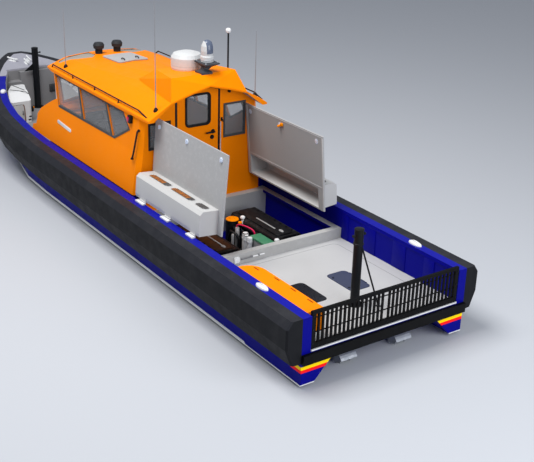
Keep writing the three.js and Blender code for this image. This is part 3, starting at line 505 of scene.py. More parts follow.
# Darker copy of the smoked panel for the port hatch: painted shade for the weaker reflection it shows.
SMOKED_PAINTED_SHADE = paint(
    "smoked_panel_painted_shade", "smoked_panel", (0.008, 0.009, 0.014), 0.2, specular=0.25, salt=0.005, runs=0.0,
)
GLASS = Finish(
    "window_glass", "window_glass", (0.46, 0.47, 0.49), Grain.ORANGE_PEEL, 0.06, relief=0.02, depth=0.0005,
    gloss_spread=0.02, drift=0.02, **CLEAN, alpha=0.22,
)
SKYLIGHT_GLASS = Finish(
    "skylight_glass", "window_glass", (0.47, 0.41, 0.33), Grain.ORANGE_PEEL, 0.08, relief=0.02, depth=0.0005,
    gloss_spread=0.02, drift=0.03, **CLEAN, alpha=0.82,
)
WHIP_GREY = Finish(
    "whip_glass_fibre", "black_metal", (0.25, 0.255, 0.27), Grain.CAST_SKIN, 0.5, relief=0.05, depth=0.0003,
)
ENGINE_DARK = paint(
    "engine_enamel", "engine_paint", (0.006, 0.006, 0.007), 0.5, specular=0.2, drift=0.2, salt=0.004, wear=0.3,
    worn=(0.08, 0.075, 0.07),
)
ENGINE_BROWN = paint(
    "engine_brown", "engine_paint", (0.045, 0.016, 0.007), 0.5, specular=0.2, drift=0.2, salt=0.004, wear=0.3,
    worn=(0.12, 0.06, 0.03),
)
ENGINE_STRIP = paint("engine_strip", "engine_paint", (0.34, 0.34, 0.34), 0.45, wear=0.2)
SERVICE_GREEN = paint(
    "service_green", "service_green", (0.055, 0.24, 0.125), 0.45, specular=0.2, wear=0.2, worn=(0.3, 0.35, 0.3),
)
CABIN_GREY = Finish("cabin_grey", "cabin_grey", (0.16, 0.165, 0.17), Grain.CAST_SKIN, 0.6, relief=0.2, depth=0.0006)
CABIN_LINING = Finish("cabin_lining", "cabin_grey", (0.5, 0.5, 0.51), Grain.CAST_SKIN, 0.65, relief=0.2, depth=0.0006)
SCREEN_GLASS = Finish(
    "screen_glass", "cabin_grey", (0.01, 0.012, 0.016), Grain.ORANGE_PEEL, 0.08, relief=0.02, coat=0.8,
)
SEAT_CLOTH = Finish(
    "seat_cloth", "seat_fabric", (0.2, 0.2, 0.21), Grain.WEAVE, 0.85, relief=0.5, depth=0.0008, drift=0.1, **CLEAN,
)
SEAT_PIPING = Finish("seat_piping", "seat_fabric", (0.03, 0.03, 0.032), Grain.WEAVE, 0.8, relief=0.3, depth=0.0005)
JET_ALLOY = Finish(
    "jet_alloy", "jet_alloy", (0.3, 0.32, 0.36), Grain.CAST_SKIN, 0.5, relief=0.3, depth=0.001, metallic=0.75,
    drift=0.1, wear=0.4, worn=(0.6, 0.6, 0.62),
)
STEEL = Finish(
    "polished_steel", "jet_alloy", (0.72, 0.74, 0.78), Grain.BRUSHED, 0.22, relief=0.06, depth=0.0004, metallic=1.0,
    drift=0.03,
)
LATCH_STEEL = Finish(
    "latch_steel", "lid_grey", (0.72, 0.8, 0.95), Grain.BRUSHED, 0.3, relief=0.06, depth=0.0004, metallic=0.25,
    drift=0.03,
)
LAMP_RED = Finish("lamp_red", "black_plastic", (0.6, 0.005, 0.05), Grain.ORANGE_PEEL, 0.12, relief=0.03, coat=0.8)
LAMP_GREEN = Finish("lamp_green", "black_plastic", (0.005, 0.35, 0.08), Grain.ORANGE_PEEL, 0.12, relief=0.03, coat=0.8)
PIPE_RED = Finish("pipe_red", "service_green", (0.7, 0.008, 0.09), Grain.RUBBER_SKIN, 0.4, relief=0.1, specular=0.2)
CAP_ORANGE = paint("cap_orange", "orange_paint", (0.95, 0.27, 0.0), 0.48, specular=0.08, **CLEAN)
RUST_ORANGE = paint("rust_orange", "black_plastic", (0.4, 0.085, 0.004), 0.5, specular=0.1)
VENT_DARK = paint("vent_dark", "lid_grey", (0.07, 0.06, 0.055), 0.6, specular=0.1, **CLEAN)
GROOVE_DARK = paint("groove_dark", "pale_deck", (0.17, 0.17, 0.18), 0.7)
CAMERA_PANE = paint("camera_pane", "white_gelcoat", (0.1, 0.125, 0.19), 0.16, salt=0.01)
PEDESTAL_GREY = paint("pedestal_grey", "window_frame", (0.05, 0.055, 0.065), 0.42, specular=0.2, salt=0.01)
SEAM_SHADE = paint("seam_shade", "white_gelcoat", (0.42, 0.43, 0.45), 0.5)
# Darker copy of the body orange on the window frames' aft-facing reveals: painted shade.
REVEAL_ORANGE_PAINTED_SHADE = paint("reveal_orange_painted_shade", "orange_paint", (0.6, 0.15, 0.0), 0.5, specular=0.05, **CLEAN)
INNER_ORANGE = paint("inner_orange", "orange_paint", (0.75, 0.3, 0.12), 0.55, specular=0.1, **CLEAN)
SHADE_ORANGE = paint("shade_orange", "orange_paint", (0.95, 0.3, 0.08), 0.5, specular=0.1)
LOCKER_SHADE = paint("locker_door_shade", "white_gelcoat", (0.5, 0.5, 0.5), 0.5)
LOCKER_EDGE = paint("locker_edge_strip", "white_gelcoat", (0.2, 0.075, 0.03), 0.5)


# Mesh making


def seat(origin: Point, normal: Point = (0, 0, 1), along: Point = (1, 0, 0)) -> Matrix:
    """Gives the place of a fitting: its local Z leaves the surface and its local X runs along it.

    Args:
        origin: Where it sits.
        normal: Direction out of the surface.
        along: Direction of its length.

    Returns:
        The placing matrix.
    """
    z = Vector(normal).normalized()
    x = Vector(along)
    x = (x - z * x.dot(z)).normalized()
    y = z.cross(x)
    frame = Matrix((x, y, z)).transposed().to_4x4()
    return Matrix.Translation(Vector(origin)) @ frame


def wall(origin: Point, normal: Point) -> Matrix:
    """Gives the place of a fitting on a steep face, with its local Y up the face.

    Args:
        origin: Where it sits.
        normal: Direction out of the face.

    Returns:
        The placing matrix.
    """
    return seat(origin, normal, tuple(Vector((0, 0, 1)).cross(Vector(normal))))


def rounded(length: float, width: float, radius: float, steps: int = 5) -> list[Pair]:
    """Gives the outline of a rectangle with round corners, centred.

    Args:
        length: Size along local X.
        width: Size along local Y.
        radius: Corner radius.
        steps: Points per corner, less one.

    Returns:
        The outline's points.
    """
    points = []
    for cx, cy, turn in ((1, 1, 0), (-1, 1, 90), (-1, -1, 180), (1, -1, 270)):
        for k in range(steps + 1):
            a = radians(turn + 90 * k / steps)
            points.append((cx * (length / 2 - radius) + radius * cos(a), cy * (width / 2 - radius) + radius * sin(a)))
    return points


def plate(size: Point, radius: float, at: Matrix, edge: float = 0.0, steps: int = 2, corner: int = 5) -> Mesh:
    """Makes a plate with round corners.

    Args:
        size: Length, width and thickness.
        radius: Corner radius.
        at: Its place.
        edge: Radius of its upper edge.
        steps: Facets across that radius.
        corner: Points per corner, less one.

    Returns:
        The closed mesh.
    """
    outline = rounded(size[0], size[1], radius, corner)
    bm = bmesh.new()
    low = [bm.verts.new((x, y, 0.0)) for x, y in outline]
    high = [bm.verts.new((x, y, size[2])) for x, y in outline]
    bm.faces.new(list(reversed(low)))
    top = bm.faces.new(high)
    count = len(low)
    for k in range(count):
        n = (k + 1) % count
        bm.faces.new((low[k], low[n], high[n], high[k]))
    if edge > 0:
        bmesh.ops.bevel(
            bm, geom=list(top.edges), offset=edge, segments=steps, profile=0.5, affect="EDGES", clamp_overlap=True,
        )
    bm.normal_update()
    bmesh.ops.recalc_face_normals(bm, faces=bm.faces)
    bm.transform(at)
    return bm


def block(size: Point, at: Matrix, edge: float = 0.004, steps: int = 2) -> Mesh:
    """Makes a block that stands on its place, with all its edges rounded.

    Args:
        size: Length, width and height.
        at: Its place, at the middle of its foot.
        edge: Edge radius.
        steps: Facets across that radius.

    Returns:
        The closed mesh.
    """
    bm = bmesh.new()
    bmesh.ops.create_cube(bm, size=1.0)
    bmesh.ops.scale(bm, vec=Vector(size), verts=bm.verts)
    bmesh.ops.translate(bm, vec=(0, 0, size[2] / 2), verts=bm.verts)
    bmesh.ops.bevel(
        bm, geom=list(bm.edges), offset=edge, segments=steps, profile=0.5, affect="EDGES", clamp_overlap=True,
    )
    bm.transform(at)
    return bm


def turned(profile: Sequence[Pair], at: Matrix, steps: int = 32, squeeze: float = 1.0) -> Mesh:
    """Turns a profile about local Z.

    Args:
        profile: Pairs of radius and height, from the bottom up. A zero radius closes to a point.
        at: Its place.
        steps: Facets round it.
        squeeze: Scale of local Y, for an oval.

    Returns:
        The closed mesh.
    """
    bm = bmesh.new()
    rings = []
    for radius, z in profile:
        if radius < 1e-6:
            rings.append([bm.verts.new((0, 0, z))])
            continue
        rings.append([bm.verts.new((radius * cos(a), squeeze * radius * sin(a), z)) for a in turns(steps)])
    for a, b in zip(rings, rings[1:]):
        for k in range(steps):
            n = (k + 1) % steps
            unique = list(dict.fromkeys([a[k % len(a)], a[n % len(a)], b[n % len(b)], b[k % len(b)]]))
            if len(unique) > 2:
                bm.faces.new(unique)
    for ring in (rings[0], rings[-1]):
        if len(ring) > 1:
            bm.faces.new(ring)
    bmesh.ops.recalc_face_normals(bm, faces=bm.faces)
    bm.transform(at)
    return bm


def stud(shape: Sequence[float], at: Matrix, steps: int) -> Mesh:
    """Makes a disc with a sloping shoulder, such as a bolt's head.

    Args:
        shape: Radius and height of its side, radius and height of its shoulder, and the middle's height if it differs.
        at: Its place.
        steps: Facets round it.

    Returns:
        The closed mesh.
    """
    side, rise, shoulder, height = shape[:4]
    return turned([(side, 0), (side, rise), (shoulder, height), (0, shape[-1])], at, steps)


def post_cap(radius: float, at: Point) -> Mesh:
    """Makes the domed cap of a towing post.

    Args:
        radius: The post's radius.
        at: The middle of the cap's foot.

    Returns:
        The closed mesh.
    """
    r = radius
    return turned([(r, 0), (r + 0.002, 0.006), (r, 0.016), (r - 0.011, 0.0215), (0.0, 0.0225)], seat(at), 36)


def tube(points: Sequence[Point], radius: float, sides: int = 10, closed: bool = False, flat: float = 1.0) -> Mesh:
    """Sweeps a round section along points.

    Args:
        points: The centreline.
        radius: Its radius.
        sides: Facets round it.
        closed: Whether the line joins its own start.
        flat: Scale of the section across the line's own plane.

    Returns:
        The closed mesh.
    """
    line = [Vector(p) for p in points]
    count = len(line)
    bm = bmesh.new()
    rings = []
    side = None
    for k, p in enumerate(line):
        before = line[k - 1] if (k or closed) else p
        after = line[(k + 1) % count] if (k + 1 < count or closed) else p
        ahead = (after - before).normalized()
        if side is None:
            pick = Vector((0, 0, 1)) if abs(ahead.z) < 0.9 else Vector((1, 0, 0))
            side = ahead.cross(pick).normalized()
        else:
            side = (side - ahead * side.dot(ahead)).normalized()
        up = ahead.cross(side)
        rings.append((p, side.copy(), up, ahead))
    stations = [(ring, 0.0, 1.0) for ring in rings]
    if not closed:
        stations = [(rings[0], -0.35, 0.6), *stations, (rings[-1], 0.35, 0.6)]
    made = []
    for (p, s, u, a), reach, size in stations:
        end = p + a * radius * reach
        made.append([bm.verts.new(end + (s * cos(t) + u * sin(t) * flat) * radius * size) for t in turns(sides)])
    pairs = list(zip(made, made[1:]))
    if closed:
        pairs.append((made[-1], made[0]))
    for a, b in pairs:
        for k in range(sides):
            n = (k + 1) % sides
            bm.faces.new((a[k], a[n], b[n], b[k]))
    if not closed:
        bm.faces.new(made[0])
        bm.faces.new(made[-1])
    bmesh.ops.recalc_face_normals(bm, faces=bm.faces)
    return bm


def turns(sides: int, shift: float = 0.0) -> list[float]:
    """Returns the angles of a ring's corners, turned by a share of their step."""
    return [2 * pi * (k + shift) / sides for k in range(sides)]


def loop(outline: Outline, at: Matrix, lift: float = 0.0) -> list[Point]:
    """Places a flat outline in the boat's frame.

    Args:
        outline: Its points in local X and Y.
        at: Its place.
        lift: Height above local zero.

    Returns:
        The points in the boat's frame.
    """
    return [tuple(at @ Vector((x, y, lift))) for x, y in outline]


def curve(knots: Sequence[Point], steps: int) -> list[Point]:
    """Rounds a route into a smooth curve through its points.

    Args:
        knots: The points that it passes.
        steps: Points per stretch.

    Returns:
        The curve's points.
    """
    line = [Vector(p) for p in knots]
    line = [2 * line[0] - line[1], *line, 2 * line[-1] - line[-2]]
    made = []
    for k in range(1, len(line) - 2):
        a, b, c, d = line[k - 1:k + 3]
        for s in range(steps):
            t = s / steps
            p = 0.5 * (2 * b + (c - a) * t + (2 * a - 5 * b + 4 * c - d) * t * t + (3 * b - a - 3 * c + d) * t**3)
            made.append(tuple(p))
    made.append(tuple(line[-2]))
    return made


def merged(parts: list[Mesh]) -> Mesh:
    """Puts several closed forms into one mesh.

    Args:
        parts: The forms, which are freed.

    Returns:
        The mesh that holds them all.
    """
    whole = bmesh.new()
    for part in parts:
        temp = bpy.data.meshes.new("part")
        part.to_mesh(temp)
        part.free()
        whole.from_mesh(temp)
        bpy.data.meshes.remove(temp)
    return whole


def mirrored(bm: Mesh) -> Mesh:
    """Copies a mesh to the other side of the boat.

    Args:
        bm: The mesh.

    Returns:
        Its mirror image.
    """
    other = bm.copy()
    bmesh.ops.scale(other, vec=(1, -1, 1), verts=other.verts)
    bmesh.ops.reverse_faces(other, faces=other.faces)
    return other


def skin(
    source: bpy.types.Object, planes: Sequence[tuple[Point, Point]], facing: Callable[[Vector], bool],
    proud: float = 0.002,
) -> Mesh:
    """Lays a thin painted skin over part of a node's surface.

    Args:
        source: The node's object.
        planes: A point and an outward direction of each plane that bounds the skin.
        facing: Tells from a face's direction whether the skin covers it.
        proud: How far the skin stands off the node.

    Returns:
        The closed skin.
    """
    bm = bmesh.new()
    bm.from_mesh(source.data)
    bmesh.ops.remove_doubles(bm, verts=bm.verts, dist=1e-5)
    for where, out in planes:
        geometry = list(bm.verts) + list(bm.edges) + list(bm.faces)
        bmesh.ops.bisect_plane(bm, geom=geometry, plane_co=where, plane_no=out, clear_outer=True)
    bm.normal_update()
    drop = [f for f in bm.faces if not facing(f.normal)]
    bmesh.ops.delete(bm, geom=drop, context="FACES")
    bmesh.ops.dissolve_limit(bm, angle_limit=0.01, verts=bm.verts, edges=bm.edges)
    bm.normal_update()
    outer = {v: v.co + v.normal * proud for v in bm.verts}
    base = list(bm.faces)
    copy = bmesh.ops.duplicate(bm, geom=base + list(bm.edges) + list(bm.verts))
    pairs = copy["vert_map"]
    rim = [e for e in bm.edges if e.is_boundary and e.verts[0] in outer and e.verts[1] in outer]
    for vert, co in outer.items():
        pairs[vert].co = vert.co - vert.normal * 0.0005
    for vert, co in outer.items():
        vert.co = co
    for edge in rim:
        a, b = edge.verts
        bm.faces.new((a, b, pairs[b], pairs[a]))
    bmesh.ops.recalc_face_normals(bm, faces=bm.faces)
    return bm


@dataclass
class Assembly:
    """A sub-assembly, with what dresses its CAD nodes and adds its pieces."""

    nodes: dict[str, bpy.types.Object]
    groups: ShaderGroups

    def add(
        self, name: str, mesh: Mesh | list[Mesh], finish: Finish, body: str = "hull", crisp: float = 32.0,
    ) -> bpy.types.Object:
        """Turns a mesh into a piece that rides on a body.

        Args:
            name: The piece's name.
            mesh: Its geometry, or a list of closed forms to put into one mesh. They are freed.
            finish: Its finish.
            body: The CAD body that carries it.
            crisp: Edges sharper than this many degrees stay sharp.

        Returns:
            The piece.
        """
        if isinstance(mesh, list):
            mesh = merged(mesh)
        data = bpy.data.meshes.new(name)
        mesh.to_mesh(data)
        mesh.free()
        piece = bpy.data.objects.new(name, data)
        bpy.context.scene.collection.objects.link(piece)
        self.smooth(piece, crisp)
        data.materials.append(finish.material(self.groups))
        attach(piece, body)
        LOG.info("%s: %d faces on %s", name, len(data.polygons), body)
        return piece

    @staticmethod
    def smooth(piece: bpy.types.Object, crisp: float) -> None:
        """Shades an object smooth and keeps its crisp edges.

        Args:
            piece: The object.
            crisp: Angle in degrees above which an edge stays sharp.
        """
        for face in piece.data.polygons:
            face.use_smooth = True
        piece.data.set_sharp_from_angle(angle=radians(crisp))

    def dress(self, node: str, finish: Finish, edge: float = 0.004, crisp: float = 32.0, steps: int = 2) -> None:
        """Gives a CAD node its finish and softens its edges.

        Args:
            node: The node's name.
            finish: Its finish.
            edge: Edge radius, or 0 to leave the edges.
            crisp: Edges sharper than this many degrees are rounded.
            steps: Facets across the radius.
        """
        target = self.nodes[node]
        target.data.materials.clear()
        target.data.materials.append(finish.material(self.groups))
        self.smooth(target, crisp)
        if edge > 0:
            soft = target.modifiers.new("Soft edges", "BEVEL")
            soft.width = edge
            soft.segments = steps
            soft.limit_method = "ANGLE"
            soft.angle_limit = radians(crisp)
            soft.harden_normals = True
            soft.use_clamp_overlap = True
        LOG.info("%s: dressed in %s", node, finish.name)

    def accent(self, node: str, finish: Finish, where: Callable[[bpy.types.MeshPolygon], bool]) -> None:
        """Gives some faces of a dressed CAD node another finish.

        Args:
            node: The node's name.
            finish: The other finish.
            where: Tells whether a face takes it.
        """
        target = self.nodes[node]
        target.data.materials.append(finish.material(self.groups))
        place = len(target.data.materials) - 1
        for face in target.data.polygons:
            if where(face):
                face.material_index = place


# Sub-assemblies

# The hull's lines: the gunwale's half breadth and where it starts to close in, and the sheer's height and rise
HALF_BEAM = 1.376
TAPER_START, TAPER_LENGTH = 8.6, 3.655
GUNWALE_TOP = 0.99
SHEER_START, SHEER_LENGTH, SHEER_RISE = 7.74, 4.3, 0.465
KNUCKLE_DROP = 0.64


@dataclass
class Hull(Assembly):
    """Painted hull with its stripes, boot line, fairleads, bulwark ribs and collar."""

    chine: tuple[Point, ...] = (
        (0.0, HALF_BEAM, 0.042), (4.0, HALF_BEAM, 0.042), (7.74, HALF_BEAM, 0.045), (8.6, 1.35, 0.05),
        (9.3, 1.215, 0.085),
        (9.9, 1.02, 0.145), (10.45, 0.79, 0.225), (10.95, 0.545, 0.33), (11.18, 0.425, 0.39), (11.4, 0.3, 0.45),
        (11.75, 0.11, 0.56), (12.0, 0.03, 0.69), (12.15, 0.018, 0.79), (12.2, 0.014, 0.825),
    )
    wide_from: float = 1.25
    fairlead: Point = (0.969, 1.316, 0.99)
    hinge_pads: tuple[Pair, ...] = ((2.755, 2.885), (3.45, 3.62), (4.205, 4.39))
    recesses: tuple[Pair, ...] = ((2.35, 2.02), (1.72, 1.34), (1.06, 0.68), (0.47, 0.14))
    bulwark_fore: float = 2.51
    bulwark_inner: float = 1.2385
    bulwark_aft: dict[str, float] = field(default_factory=lambda: {"port": 1.8, "starboard": 0.05})

    def build(self) -> None:
        """Dresses the hull's nodes and adds its painted lines and fittings."""
        self.dress("hull_topsides", HULL_BLUE, 0.008)
        # The gunwale's upward faces take the lighter copy of the hull blue, painted light on the top.
        self.accent("hull_topsides", HULL_BLUE_LIT_TOP, lambda face: face.normal.z > 0.7 and face.center.z > 0.8)
        self.dress("hull_bottom", BOTTOM_BLACK, 0.0)
        self.dress("bow_deck", BREAST_GREY, 0.006)
        self.dress("transom_band", BAND_BLACK, 0.01)
        for side in SIDES:
            self.dress(f"fender_{side}", FENDER_SKIN, 0.016, crisp=18, steps=3)
            # Faces turned sideways or down take the darker rubber, painted shade.
            self.accent(f"fender_{side}", FENDER_PAINTED_SHADE, lambda face: face.normal.z < 0.3)
        self.boot_line()
        self.stripes()
        self.gunwale()
        self.bulwark()

    @staticmethod
    def half_beam(x: float) -> float:
        """Returns the half breadth at the gunwale."""
        t = min(max((x - TAPER_START) / TAPER_LENGTH, 0.0), 1.0)
        return HALF_BEAM * (1 - t**2.2) ** 0.82

    @staticmethod
    def sheer(x: float) -> float:
        """Returns the height of the gunwale's top."""
        return GUNWALE_TOP + SHEER_RISE * (max(0.0, x - SHEER_START) / SHEER_LENGTH) ** 1.5

    def side_point(self, x: float, up: float) -> tuple[Vector, Vector]:
        """Finds a place on the port side above the chine.

        Args:
            x: Place along the boat.
            up: Height above the chine.

        Returns:
            The point, and the direction out of the side.
        """
        rows = self.chine
        k = max(i for i in range(len(rows) - 1) if rows[i][0] <= x)
        t = (x - rows[k][0]) / (rows[k + 1][0] - rows[k][0])
        here = [a + (b - a) * t for a, b in zip(rows[k], rows[k + 1])]
        tops = []
        for row in (rows[k], rows[k + 1]):
            tops.append((self.half_beam(row[0]), self.sheer(row[0]) - KNUCKLE_DROP))
        knuckle = Vector((x, tops[0][0] + (tops[1][0] - tops[0][0]) * t, tops[0][1] + (tops[1][1] - tops[0][1]) * t))
        foot = Vector((x, here[1], here[2]))
        rise = (knuckle - foot) / (knuckle.z - foot.z)
        ahead = Vector((rows[k + 1][0] - rows[k][0], rows[k + 1][1] - rows[k][1], rows[k + 1][2] - rows[k][2]))
        return foot + rise * up, ahead.cross(rise).normalized() * -1

    def boot_line(self) -> None:
        """Adds the white line along the chine, thin aft and wider from the quarter forward."""
        stops = [row[0] for row in self.chine[:-1]]
        stops += [self.wide_from - 0.02, self.wide_from + 0.02, 8.95, 9.6, 10.2, 10.7]
        bm = bmesh.new()
        before = None
        for x in sorted(stops):
            wide = 0.012 if x < self.wide_from else 0.04 + 0.03 * min(max((x - 8.0) / 3.0, 0.0), 1.0)
            ring = []
            for up, off in ((-0.004, -0.002), (-0.004, 0.005), (wide, 0.005), (wide, -0.002)):
                place, out = self.side_point(max(x, 0.001), max(up, 0.0))
                ring.append(bm.verts.new(place + out * off + Vector((0, 0, min(up, 0.0)))))
            if before:
                for k in range(4):
                    bm.faces.new((before[k], before[(k + 1) % 4], ring[(k + 1) % 4], ring[k]))
            else:
                bm.faces.new(ring)
            before = ring
        bm.faces.new(before)
        bmesh.ops.recalc_face_normals(bm, faces=bm.faces)
        other = mirrored(bm)
        self.add("boot_line_port", bm, BOOT_WHITE)
        self.add("boot_line_starboard", other, BOOT_WHITE)
        edge = skin(
            self.nodes["hull_topsides"], [((0, 0, 0.056), (0, 0, 1)), ((0.3, 0, 0), (1, 0, 0))],
            lambda n: n.x < -0.9, 0.003,
        )
        self.add("leg_edges", edge, BOOT_WHITE)

    def stripes(self) -> None:
        """Adds the yellow and red bands round both transom legs."""
        source = self.nodes["hull_topsides"]
        for label, low, high, finish in (("yellow", 0.268, 0.314, STRIPE_YELLOW), ("red", 0.222, 0.268, STRIPE_RED)):
            aft = skin(
                source, [((0, 0, high), (0, 0, 1)), ((0, 0, low), (0, 0, -1)), ((0.2, 0, 0), (1, 0, 0))],
                lambda n: n.x < -0.9, 0.003,
            )
            self.add(f"leg_stripe_{label}", aft, finish)
            for side, sign in SIDES.items():
                rake = Vector((0.75, 0, -1.0)).normalized()
                flank = skin(
                    source,
                    [
                        ((0, 0, high), (0, 0, 1)), ((0, 0, low), (0, 0, -1)), ((0.27, 0, 0.262), rake),
                        ((0, 0, 0), (0, -sign, 0)),
                    ],
                    lambda n, s=sign: n.y * s > 0.9, 0.003,
                )
                self.add(f"side_stripe_{label}_{side}", flank, finish)

    def gunwale(self) -> None:
        """Adds the white fairleads, the lids' hinge pads and the bow fairleads."""
        x, y, z = self.fairlead
        for side, sign in SIDES.items():
            at = seat((x, sign * y, z - 0.004))
            oval = turned(
                [(0.124, 0.0), (0.125, 0.012), (0.116, 0.026), (0.09, 0.037), (0.04, 0.043), (0.0, 0.044)], at, 40,
                0.42,
            )
            horn = tube(
                [
                    (x - 0.07, sign * y, z + 0.03), (x - 0.03, sign * y, z + 0.047), (x + 0.03, sign * y, z + 0.047),
                    (x + 0.07, sign * y, z + 0.03),
                ],
                0.009,
            )
            self.add(f"quarter_fairlead_{side}", [oval, horn], MOULDED_WHITE)
            bow_x = 10.384
            at = (bow_x, sign * (self.half_beam(bow_x) - 0.08), self.sheer(bow_x) + 0.001)
            place = seat(at, (-0.1, 0, 1), (1, -0.55 * sign, 0))
            bow = turned([(0.08, 0.0), (0.083, 0.014), (0.074, 0.034), (0.046, 0.05), (0.0, 0.056)], place, 36, 0.66)
            self.add(f"bow_fairlead_{side}", bow, MOULDED_WHITE)
            pads = []
            for aft, fore in self.hinge_pads:
                middle = (aft + fore) / 2
                pads.append(
                    block((fore - aft + 0.05, 0.064, 0.0275), seat((middle + 0.02, sign * 1.27, 0.9902)), 0.004)
                )
                for dx in (-0.045, 0.0, 0.045):
                    at = seat((middle + dx, sign * 1.276, 1.0015))
                    pads.append(stud((0.006, 0.002, 0.003, 0.004), at, 12))
            self.add(f"lid_hinge_pads_{side}", pads, MOULDED_WHITE)

    def bulwark(self) -> None:
        """Adds the ribs and top band that leave recessed panels in the bulwark's inner face."""
        for side, sign in SIDES.items():
            end = self.bulwark_aft[side]
            edges = [self.bulwark_fore, *[v for pair in self.recesses for v in pair if v > end], end]
            parts = []
            for fore, aft in zip(edges[0::2], edges[1::2]):
                at = wall(((fore + aft) / 2, sign * self.bulwark_inner, 0.728), (0, -sign, 0))
                parts.append(plate((fore - aft, 0.4, 0.009), 0.002, at, 0.004, corner=1))
            at = wall(((self.bulwark_fore + end) / 2, sign * self.bulwark_inner, 0.945), (0, -sign, 0))
            parts.append(plate((self.bulwark_fore - end, 0.04, 0.009), 0.002, at, 0.004, corner=1))
            self.add(f"bulwark_ribs_{side}", parts, HULL_BLUE)


@dataclass
class AftDeck(Assembly):
    """Working deck with its hatches, side locker, grille and towing post."""

    top: float = 0.525
    hatch_middle: Pair = (1.2725, 0.38)
    panel: tuple[float, float, float, float] = (0.16, 2.4, -1.04, 0.86)
    latches: tuple[float, ...] = (1.56, 1.156, 0.792, 0.426)
    post_x: float = 0.671

    def build(self) -> None:
        """Dresses the deck's nodes and adds its small fittings."""
        self.dress("aft_deck", DECK_PALE, 0.004)
        self.dress("side_locker", BODY_ORANGE, 0.008)
        self.dress("side_locker_lid", BODY_ORANGE, 0.008)
        self.dress("transom_grille", BAND_BLACK, 0.002)
        self.dress("aft_towing_post", METAL_BLACK, 0.004)
        self.deck_lines()
        self.hatches()
        self.locker()
        self.grille()
        self.post()

    def deck_lines(self) -> None:
        """Adds the fine joint round the non-slip panel and the pale sill under the grille."""
        aft, fore, starboard, port = self.panel
        at = seat(((aft + fore) / 2, (starboard + port) / 2, self.top))
        joint = tube(loop(rounded(fore - aft, port - starboard, 0.1, 6), at), 0.004, 6, closed=True, flat=0.3)
        self.add("deck_panel_joint", joint, GROOVE_DARK)
        sill = plate((0.008, 2.46, 0.015), 0.002, seat((-0.0118, 0, 0.508)), 0.0015, corner=1)
        self.add("transom_sill", sill, MOULDED_WHITE)

    def hatches(self) -> None:
        """Dresses the smoked hatches and adds their flush latches."""
        x, y = self.hatch_middle
        for side, sign in SIDES.items():
            body = f"deck_hatch_{side}"
            # The port hatch takes the darker copy of the smoked panel, painted shade.
            self.dress(body, SMOKED_PAINTED_SHADE if sign > 0 else SMOKED, 0.003)
            latches = []
            for dx in (-0.18, 0.18):
                at = seat((x + dx, sign * (y - 0.13), self.top + 0.003))
                latches.append(stud((0.017, 0.002, 0.012, 0.0035), at, 24))
                latches.append(block(
                    (0.022, 0.005, 0.003), seat((x + dx, sign * (y - 0.13), self.top + 0.0055), along=(1, 0.6, 0)),
                    0.001,
                ))
            self.add(f"deck_hatch_latches_{side}", latches, METAL_BLACK, body)

    def locker(self) -> None:
        """Adds the side locker's white plinth and its four latches."""
        source = self.nodes["side_locker"]
        plinth = skin(source, [((0, 0, 0.62), (0, 0, 1))], lambda n: abs(n.z) < 0.5 and n.y < 0.95, 0.003)
        self.add("side_locker_plinth", plinth, MOULDED_WHITE)
        latches = []
        for x in self.latches:
            y = 0.948 if x < 1.3 else 1.0
            latches.append(block((0.11, 0.02, 0.006), seat((x, y, 0.9355)), 0.002))
            latches.append(block((0.03, 0.01, 0.006), seat((x - 0.02, y, 0.94)), 0.002))
        self.add("side_locker_latches", latches, RUST_ORANGE, "side_locker_lid")

    def grille(self) -> None:
        """Adds the bolts at the grille's ends and along its foot."""
        bolts = []
        for sign in (1, -1):
            for z in (0.6, 0.79, 0.98):
                at = seat((0.0035, sign * 1.212, z), AFT, (0, 1, 0))
                bolts.append(stud((0.011, 0.005, 0.008, 0.008), at, 6))
        for k in range(9):
            at = seat((0.0035, -1.12 + 0.28 * k, 0.566), AFT, (0, 1, 0))
            bolts.append(stud((0.008, 0.004, 0.005, 0.006), at, 6))
        self.add("grille_bolts", bolts, METAL_BLACK)

    def post(self) -> None:
        """Adds the towing post's cap, collar, pin ends and base bolts."""
        x = self.post_x
        cap = post_cap(0.066, (x, 0, 1.6125))
        collar = turned([(0.064, 0), (0.072, 0.006), (0.072, 0.026), (0.064, 0.032)], seat((x, 0, 1.4)), 36)
        parts = [cap, collar]
        for sign in (1, -1):
            at = seat((x, sign * 0.088, 1.54), (0, sign, 0))
            parts.append(turned([(0.011, 0), (0.02, 0.003), (0.021, 0.014), (0.016, 0.021), (0.0, 0.022)], at, 20))
        for a in turns(8, 0.5):
            at = seat((x + 0.088 * cos(a), 0.088 * sin(a), self.top + 0.014))
            parts.append(stud((0.0125, 0.009, 0.009, 0.012), at, 6))
        self.add("aft_post_fittings", parts, METAL_BLACK)


